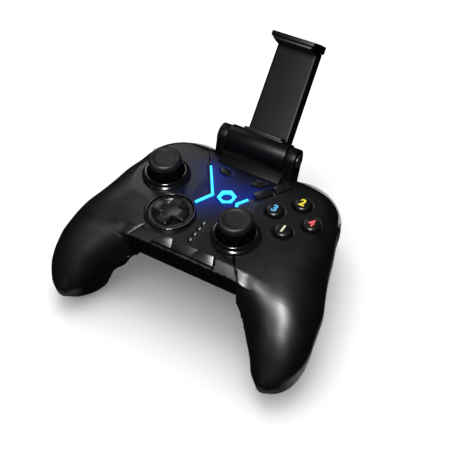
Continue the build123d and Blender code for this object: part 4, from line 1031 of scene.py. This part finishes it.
@dataclass
class ThumbStick:
    """Cap, neck and dome of one stick, and the collar round it."""

    shop: Workshop
    side: Side
    x: float
    y: float
    cap_radius: float = 9.75
    top: float = 13.5
    neck_radius: float = 5.45
    pivot_depth: float = 13.0
    dome_radius: float = 11.3
    dome_angles: tuple = (29, 55)
    dome_steps: int = 11
    dome_wall_share: float = 0.93
    dome_wall: float = 0.4
    dome_lap: float = 0.2
    cap_shares: tuple = (0, 0.60, 0.76, 0.90, 1.0, 1.0, 0.93, 0.60)
    cap_drops: tuple = (0.9, 0.8, 0.0, 0.05, 1.5, 3.6, 4.9, 5.2)
    cap_rounding: float = 1.3
    hem_share: float = 0.9
    hem_drop: float = 5.6
    neck_shares: tuple = (0.85, 1.0, 1.0)
    neck_drops: tuple = (5.4, 7.5, 11.0)
    neck_rounding: float = 2.0
    collar_profile: tuple = (
        (14.25, 0.0), (14.25, 1.15), (13.3, 1.5), (12.5, 3.3), (11.9, 3.5), (11.2, 3.45),
        (10.7, 2.6), (8.4, -3.6), (8.4, -4.8), (12.5, -3.6), (12.5, 0.0))
    collar_rounding: float = 0.5

    def cap(self) -> bpy.types.Mesh:
        """Turned cap: a shallow dish with a rounded rim."""
        corners = [(self.cap_radius * r, self.top - drop) for r, drop in zip(self.cap_shares, self.cap_drops)]
        corners.append((self.neck_radius * self.hem_share, self.top - self.hem_drop))
        return self.shop.turned("cap", softened(corners, self.cap_rounding), self.x, self.y)

    def neck(self) -> bpy.types.Mesh:
        """Bell under the cap that runs into the dome over the works."""
        r = self.dome_radius
        angles = np.radians(np.linspace(*self.dome_angles, self.dome_steps))
        dome = [(r * math.sin(a), r * math.cos(a) - self.pivot_depth) for a in angles]
        corners = [(self.neck_radius * share, self.top - drop)
                   for share, drop in zip(self.neck_shares, self.neck_drops)]
        corners.append((dome[0][0], dome[0][1] + self.dome_lap))
        inner = [(x * self.dome_wall_share, z - self.dome_wall) for x, z in reversed(dome)]
        profile = softened(corners, self.neck_rounding) + dome + inner
        return self.shop.turned("neck", profile, self.x, self.y)

    def collar(self) -> bpy.types.Mesh:
        """Glossy collar: a rounded rim over a dished throat and a broad foot."""
        profile = softened(self.collar_profile, self.collar_rounding)
        return self.shop.turned("collar", profile, self.x, self.y)

    def build(self) -> None:
        """Builds the stick's skins."""
        side = self.side.name.lower()
        cap = self.shop.place(side + "_cap_skin", self.cap(), side + "_stick", "stick_rubber", RUBBER)
        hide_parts(side + "_stick_cap")
        neck = self.shop.place(side + "_neck_skin", self.neck(), side + "_stick", "gloss_black", GLOSS)
        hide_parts(side + "_stick_cap")
        collar = self.shop.place(side + "_collar_skin", self.collar(), "shell", "gloss_black", GLOSS)
        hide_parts(side + "_stick_collar")


@dataclass
class DirectionPad:
    """Round dish with a raised cross, as one smooth surface over a disc."""

    shop: Workshop
    x: float = -20.75
    y: float = -24.05
    radius: float = 12.6
    rim_height: float = 0.5
    dish_depth: float = 1.9
    dish_radius: float = 10.6
    arm_half: float = 3.7
    arm_reach: float = 10.4
    cross_height: float = 2.4
    scoop_radius: float = 30.0
    scoop_depth: float = 0.6
    dish_edge: float = 0.3
    dish_slope: float = 2.6
    arm_fall: float = 0.35
    arm_fall_from: float = 7.2
    arm_fall_to: float = 10.6
    wall_start: float = -0.05
    wall_end: float = 0.11
    chamfer: float = 0.65
    chamfer_from: float = 0.80
    chamfer_to: float = 0.05
    underside: float = -2.6
    cells: int = 180
    ring_profile: tuple = (
        (13.2, -3.6), (13.2, 0.85), (13.45, 1.0), (14.0, 1.0), (14.3, 0.6), (14.3, -2.4),
        (15.5, -2.4), (15.5, -3.6), (13.2, -3.6))
    ring_rounding: float = 0.2

    def height(self, u: np.ndarray, v: np.ndarray) -> np.ndarray:
        """Height of the pad over its middle plane.

        The dish falls from the rim on a soft slope. The cross rises from it where the distance
        to the cross's outline is positive, with a chamfer, its arms falling a little outwards
        and its middle scooped by a sphere.

        Args:
            u: Places across, from the pad's middle.
            v: Places along, from the pad's middle.

        Returns:
            The height at each place.
        """
        r = np.hypot(u, v)
        edge = self.dish_radius + self.dish_edge
        dish = self.rim_height - self.dish_depth * soft_step(ramp(r, edge, edge - self.dish_slope))
        long_u = np.minimum(self.arm_reach - np.abs(u), self.arm_half - np.abs(v))
        long_v = np.minimum(self.arm_half - np.abs(u), self.arm_reach - np.abs(v))
        inside = np.maximum(long_u, long_v)
        sphere = self.scoop_radius - np.sqrt(self.scoop_radius ** 2 - r ** 2)
        top = np.minimum(self.cross_height, self.cross_height - self.scoop_depth + sphere)
        top = top - self.arm_fall * ramp(r, self.arm_fall_from, self.arm_fall_to)
        top = top - self.chamfer * ramp(inside, self.chamfer_from, self.chamfer_to)
        wall = ramp(inside, self.wall_start, self.wall_end)
        return dish + (np.maximum(top, dish) - dish) * wall

    def top(self) -> np.ndarray:
        """Grid of places on the pad's top, a square mapped onto the disc."""
        a = np.linspace(-1, 1, self.cells + 1)
        s, t = np.meshgrid(a, a, indexing="ij")
        u = self.radius * s * np.sqrt(1 - t * t / 2)
        v = self.radius * t * np.sqrt(1 - s * s / 2)
        return np.stack([self.x + u, self.y + v, self.height(u, v)], -1)

    def build(self) -> None:
        """Builds the pad's skin and its ring."""
        skirt = [(self.radius, self.rim_height), (self.radius, self.underside), (0.0, self.underside)]
        mesh = self.shop.joined("pad", [
            self.shop.grid("pad_top", self.top()),
            self.shop.turned("pad_skirt", skirt, self.x, self.y),
        ])
        pad = self.shop.place("direction_pad_skin", mesh, "direction_pad", "gloss_black", FROSTED)
        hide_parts("direction_pad")
        mesh = self.shop.turned("ring", softened(self.ring_profile, self.ring_rounding), self.x, self.y)
        ring = self.shop.place("direction_ring_skin", mesh, "shell", "gloss_black", GLOSS)
        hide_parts("direction_ring")


@dataclass
class RoundButtons:
    """The four domed buttons, with a plain number on each.

    Each mark is a button's name, its place across and along in the cluster, its number and
    the number's colour.
    """

    shop: Workshop
    marks: tuple = (
        ("near", 0, -1, "1", (0.72, 0.70, 0.50)),
        ("far", 0, 1, "2", (0.80, 0.66, 0.03)),
        ("inner", -1, 0, "3", (0.10, 0.42, 0.72)),
        ("outer", 1, 0, "4", (0.72, 0.09, 0.10)),
    )
    height: float = 7.0
    thickness: float = 0.1
    boldness: float = 0.22
    lift: float = 0.02
    cell: float = 0.7
    dividing_rounds: int = 4
    ink_angle: float = 30.0
    rise: float = 2.5
    radius: float = 4.9
    dome_fall: float = 0.35
    edge_fall: float = 0.75
    edge_power: int = 9
    dome_steps: int = 22
    dome_crowding: float = 0.7
    foot_profile: tuple = ((4.9, -2.5), (6.1, -2.5), (6.1, -3.7), (2.6, -3.7), (2.6, -17.7), (0.0, -17.7))
    cluster_x: float = 40.9
    cluster_y: float = 5.3
    reach: float = 11.5

    def dome(self, r: np.ndarray) -> np.ndarray:
        """Height of a cap at a distance from its middle: a shallow dome with a rounded edge."""
        share = np.clip(r / self.radius, 0, 1)
        return self.rise - self.dome_fall * share ** 2 - self.edge_fall * share ** self.edge_power

    def cap(self, x: float, y: float) -> bpy.types.Mesh:
        """Turned cap with its flange and its plunger.

        Args:
            x: Middle of the button across.
            y: Middle of the button along.

        Returns:
            The cap's mesh.
        """
        radii = self.radius * np.linspace(0, 1, self.dome_steps) ** self.dome_crowding
        profile = [*zip(radii, self.dome(radii)), *self.foot_profile]
        return self.shop.turned("button", profile, x, y)

    def number(self, sign: str, x: float, y: float) -> bpy.types.Mesh:
        """Mesh of a number that lies on the dome.

        Args:
            sign: The number.
            x: Middle of the button across.
            y: Middle of the button along.

        Returns:
            The number's mesh, raised a little over the cap.
        """
        curve = bpy.data.curves.new("number", "FONT")
        curve.body = sign
        curve.size = self.height
        curve.align_x = "CENTER"
        curve.align_y = "CENTER"
        curve.extrude = self.thickness
        curve.offset = self.boldness
        holder = bpy.data.objects.new("number_source", curve)
        bpy.context.scene.collection.objects.link(holder)
        bpy.context.view_layer.update()
        mesh = bpy.data.meshes.new_from_object(holder)
        bpy.data.objects.remove(holder)
        form = bmesh.new()
        form.from_mesh(mesh)
        for _ in range(self.dividing_rounds):
            edges = [e for e in form.edges if e.calc_length() > self.cell]
            bmesh.ops.subdivide_edges(form, edges=edges, cuts=1)
            bmesh.ops.triangulate(form, faces=form.faces)
        form.to_mesh(mesh)
        form.free()
        flat = measured(mesh.vertices, "co", 3).astype(float)
        flat[:, :2] -= (flat[:, :2].min(axis=0) + flat[:, :2].max(axis=0)) / 2
        flat[:, 2] += self.dome(np.hypot(flat[:, 0], flat[:, 1])) + self.lift
        flat[:, :2] += (x, y)
        mesh.vertices.foreach_set("co", self.shop.face.to_row(flat).astype(np.float32).ravel())
        Workshop.tidy(mesh, self.ink_angle)
        return mesh

    def build(self) -> None:
        """Builds the four caps and their numbers."""
        for name, dx, dy, sign, colour in self.marks:
            x = self.cluster_x + dx * self.reach
            y = self.cluster_y + dy * self.reach
            body = "button_" + name
            cap = self.shop.place(body + "_skin", self.cap(x, y), body, "gloss_black", FROSTED)
            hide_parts(body)
            ink = Moulded("ink_" + name, colour, 0.4, grain_per_mm=4.0, grain_depth=0.03)
            self.shop.place("number_" + name, self.number(sign, x, y), body, "gloss_black", ink)


@dataclass
class Trim:
    """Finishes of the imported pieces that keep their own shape, with their edges eased."""

    shop: Workshop
    bumper_ease: float = 0.5
    trigger_ease: float = 0.4
    foot_ease: float = 0.35
    back_ease: float = 0.3
    jaw_ease: float = 0.5
    pin_ease: float = 0.25
    pad_ease: float = 0.2
    key_ease: float = 0.28

    def eased(self) -> None:
        """Replaces straight-edged pieces by copies with eased edges."""
        shapes = {
            "left_bumper": (GREY, "shoulder_grey", self.bumper_ease),
            "right_bumper": (GREY, "shoulder_grey", self.bumper_ease),
            "left_trigger": (GLOSS, "gloss_black", self.trigger_ease),
            "right_trigger": (GLOSS, "gloss_black", self.trigger_ease),
            "holder_foot": (SOFT, "panel_black", self.foot_ease),
            "holder_back": (SOFT, "panel_black", self.back_ease),
            "holder_jaw": (SOFT, "panel_black", self.jaw_ease),
            "hinge_pin": (SCREW, "steel", self.pin_ease),
            "jaw_pad": (RUBBER, "pad_rubber", self.pad_ease),
            "ledge_pad": (RUBBER, "pad_rubber", self.pad_ease),
        }
        keys = [n for n in self.shop.nodes if n.startswith(("upper_key", "strip_key", "front_key"))]
        shapes.update({n: (FROSTED, "panel_black", self.key_ease) for n in keys})
        for node, (finish, slot, ease) in shapes.items():
            mesh = self.shop.eased_copy(node, ease)
            piece = self.shop.place(node + "_skin", mesh, self.shop.nodes[node]["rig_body"], slot, finish)
            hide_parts(node)

    def build(self) -> None:
        """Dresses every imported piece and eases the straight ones."""
        shop = self.shop
        shop.dress(["light_strips", "centre_light"], CYAN)
        shop.dress(["indicator_lamps"], LAMP)
        shop.dress([n for n in shop.nodes if "yoke" in n or "seat" in n or "stem" in n], GLOSS)
        shop.dress(["direction_pivot", "direction_base", "key_switches"], SATIN)
        shop.dress(["left_stick_module", "right_stick_module", "motors", "left_motor_weight",
                    "right_motor_weight", "trigger_pins", "trigger_springs", "charging_socket",
                    "holder_springs"], STEEL)
        shop.dress(["case_screws"], SCREW)
        shop.dress(["main_board", "front_board"], BOARD)
        shop.dress(["battery"], WRAP)
        shop.dress(["button_mat"], MAT)
        self.eased()


@dataclass(frozen=True)
class Lamp:
    """A soft rectangular lamp: where it hangs, what it faces, its size and its power in watts.

    A lamp that shines shows in the gloss of things, and any other gives plain light only.
    """

    name: str
    place: tuple
    aim: tuple
    size: tuple
    power: float
    shine: bool = True

    def hang(self) -> None:
        """Puts the lamp into the scene."""
        data = bpy.data.lights.new(self.name, "AREA")
        data.shape = "RECTANGLE"
        data.size, data.size_y = self.size
        data.energy = self.power
        lamp = bpy.data.objects.new(self.name, data)
        lamp.location = self.place
        towards = Vector(self.aim) - Vector(self.place)
        lamp.rotation_euler = towards.to_track_quat("-Z", "Y").to_euler()
        lamp.visible_camera = False
        lamp.visible_glossy = self.shine
        lamp.visible_diffuse = not self.shine
        bpy.context.scene.collection.objects.link(lamp)


@dataclass
class Studio:
    """Floor, light and camera.

    The floor's and the world's levels are those that the camera sees, that a gloss mirrors
    and that everything else is lit by.
    """

    shop: Workshop
    lamps: tuple = (
        Lamp("fill", (-0.25, 0.55, 1.10), (0, 0, 0.02), (1.0, 1.0), 9.5, shine=False),
        Lamp("rear", (-0.42, 0.40, 0.36), (-0.05, 0.0, 0.05), (0.22, 0.20), 0.55),
        Lamp("crest", (0.09, -0.29, 0.69), (0.055, -0.06, 0.05), (0.13, 0.34), 12.0),
        Lamp("spark", (-0.28, -0.22, 0.40), (-0.02, 0.0, 0.06), (0.04, 0.04), 0.03),
    )
    floor_levels: tuple = (0.96, 0.006, 0.10)
    world_levels: tuple = (1.0, 0.0, 0.85)
    floor_reach: float = 6.0
    floor_roughness: float = 0.95
    eye: tuple = (195.2, -307.1, 356.4)
    right: tuple = (0.8567, 0.5152, -0.0246)
    up: tuple = (-0.3568, 0.6262, 0.6932)
    back: tuple = (0.3726, -0.5851, 0.7203)
    focal: float = 72.0
    sensor: float = 36.0
    view_end: float = 20.0

    def camera(self) -> None:
        """Sets the camera at the photograph's place."""
        turn = self.shop.face.turn()
        axes = np.array([turn @ np.array(v) for v in (self.right, self.up, self.back)]).T
        left, _, right = np.linalg.svd(axes)
        axes = left @ right
        place = self.shop.face.to_row(np.array([self.eye]))[0]
        data = bpy.data.cameras.new("camera")
        data.lens = self.focal
        data.sensor_width = self.sensor
        data.clip_end = self.view_end
        camera = bpy.data.objects.new("camera", data)
        matrix = np.eye(4)
        matrix[:3, :3] = axes
        matrix[:3, 3] = place
        camera.matrix_world = Matrix(matrix.tolist())
        bpy.context.scene.collection.objects.link(camera)
        bpy.context.scene.camera = camera

    @staticmethod
    def for_rays(tree: bpy.types.NodeTree, seen: float, mirrored: float,
                 felt: float) -> bpy.types.NodeSocket:
        """Grey level that differs between the camera's rays, mirror rays and all the others.

        Args:
            tree: The node tree that gets the nodes.
            seen: Level for rays from the camera.
            mirrored: Level for rays that a gloss sends out.
            felt: Level for all other rays.

        Returns:
            The socket that holds the level.
        """
        path = tree.nodes.new("ShaderNodeLightPath")
        level = tree.nodes.new("ShaderNodeMapRange")
        level.inputs["To Max"].default_value = seen
        gloss = mapped(tree, path.outputs["Is Glossy Ray"], felt, mirrored)
        tree.links.new(gloss, level.inputs["To Min"])
        tree.links.new(path.outputs["Is Camera Ray"], level.inputs["Value"])
        return level.outputs["Result"]

    def floor(self) -> None:
        """Lays a wide pale floor that keeps the object's shadow and looks dark in reflections."""
        size = self.floor_reach
        corners = [(-size, -size, 0), (size, -size, 0), (size, size, 0), (-size, size, 0)]
        mesh = bpy.data.meshes.new("floor")
        mesh.from_pydata(corners, [], [(0, 1, 2, 3)])
        floor = bpy.data.objects.new("floor", mesh)
        bpy.context.scene.collection.objects.link(floor)
        material = bpy.data.materials.new("floor")
        material.use_nodes = True
        tree = material.node_tree
        shader = tree.nodes["Principled BSDF"]
        tree.links.new(self.for_rays(tree, *self.floor_levels), shader.inputs["Base Color"])
        shader.inputs["Roughness"].default_value = self.floor_roughness
        shader.inputs["Specular IOR Level"].default_value = 0.0
        mesh.materials.append(material)

    def build(self) -> None:
        """Sets the whole studio up."""
        scene = bpy.context.scene
        scene.view_settings.view_transform = "Standard"
        world = bpy.data.worlds.new("world")
        scene.world = world
        world.use_nodes = True
        tree = world.node_tree
        sky = tree.nodes["Background"]
        sky.inputs["Color"].default_value = (1, 1, 1, 1)
        tree.links.new(self.for_rays(tree, *self.world_levels), sky.inputs["Strength"])
        self.floor()
        for lamp in self.lamps:
            lamp.hang()
        self.camera()


def main() -> None:
    """Builds the controller's looks in order."""
    logging.basicConfig(level=logging.INFO)
    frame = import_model()
    shop = Workshop(frame)
    Shells(shop).build()
    SeamLines(shop).build()
    ThumbStick(shop, Side.LEFT, -40.0, 0.7).build()
    ThumbStick(shop, Side.RIGHT, 20.1, -21.6).build()
    DirectionPad(shop).build()
    RoundButtons(shop).build()
    Trim(shop).build()
    Studio(shop).build()


if __name__ == "__main__":
    main()
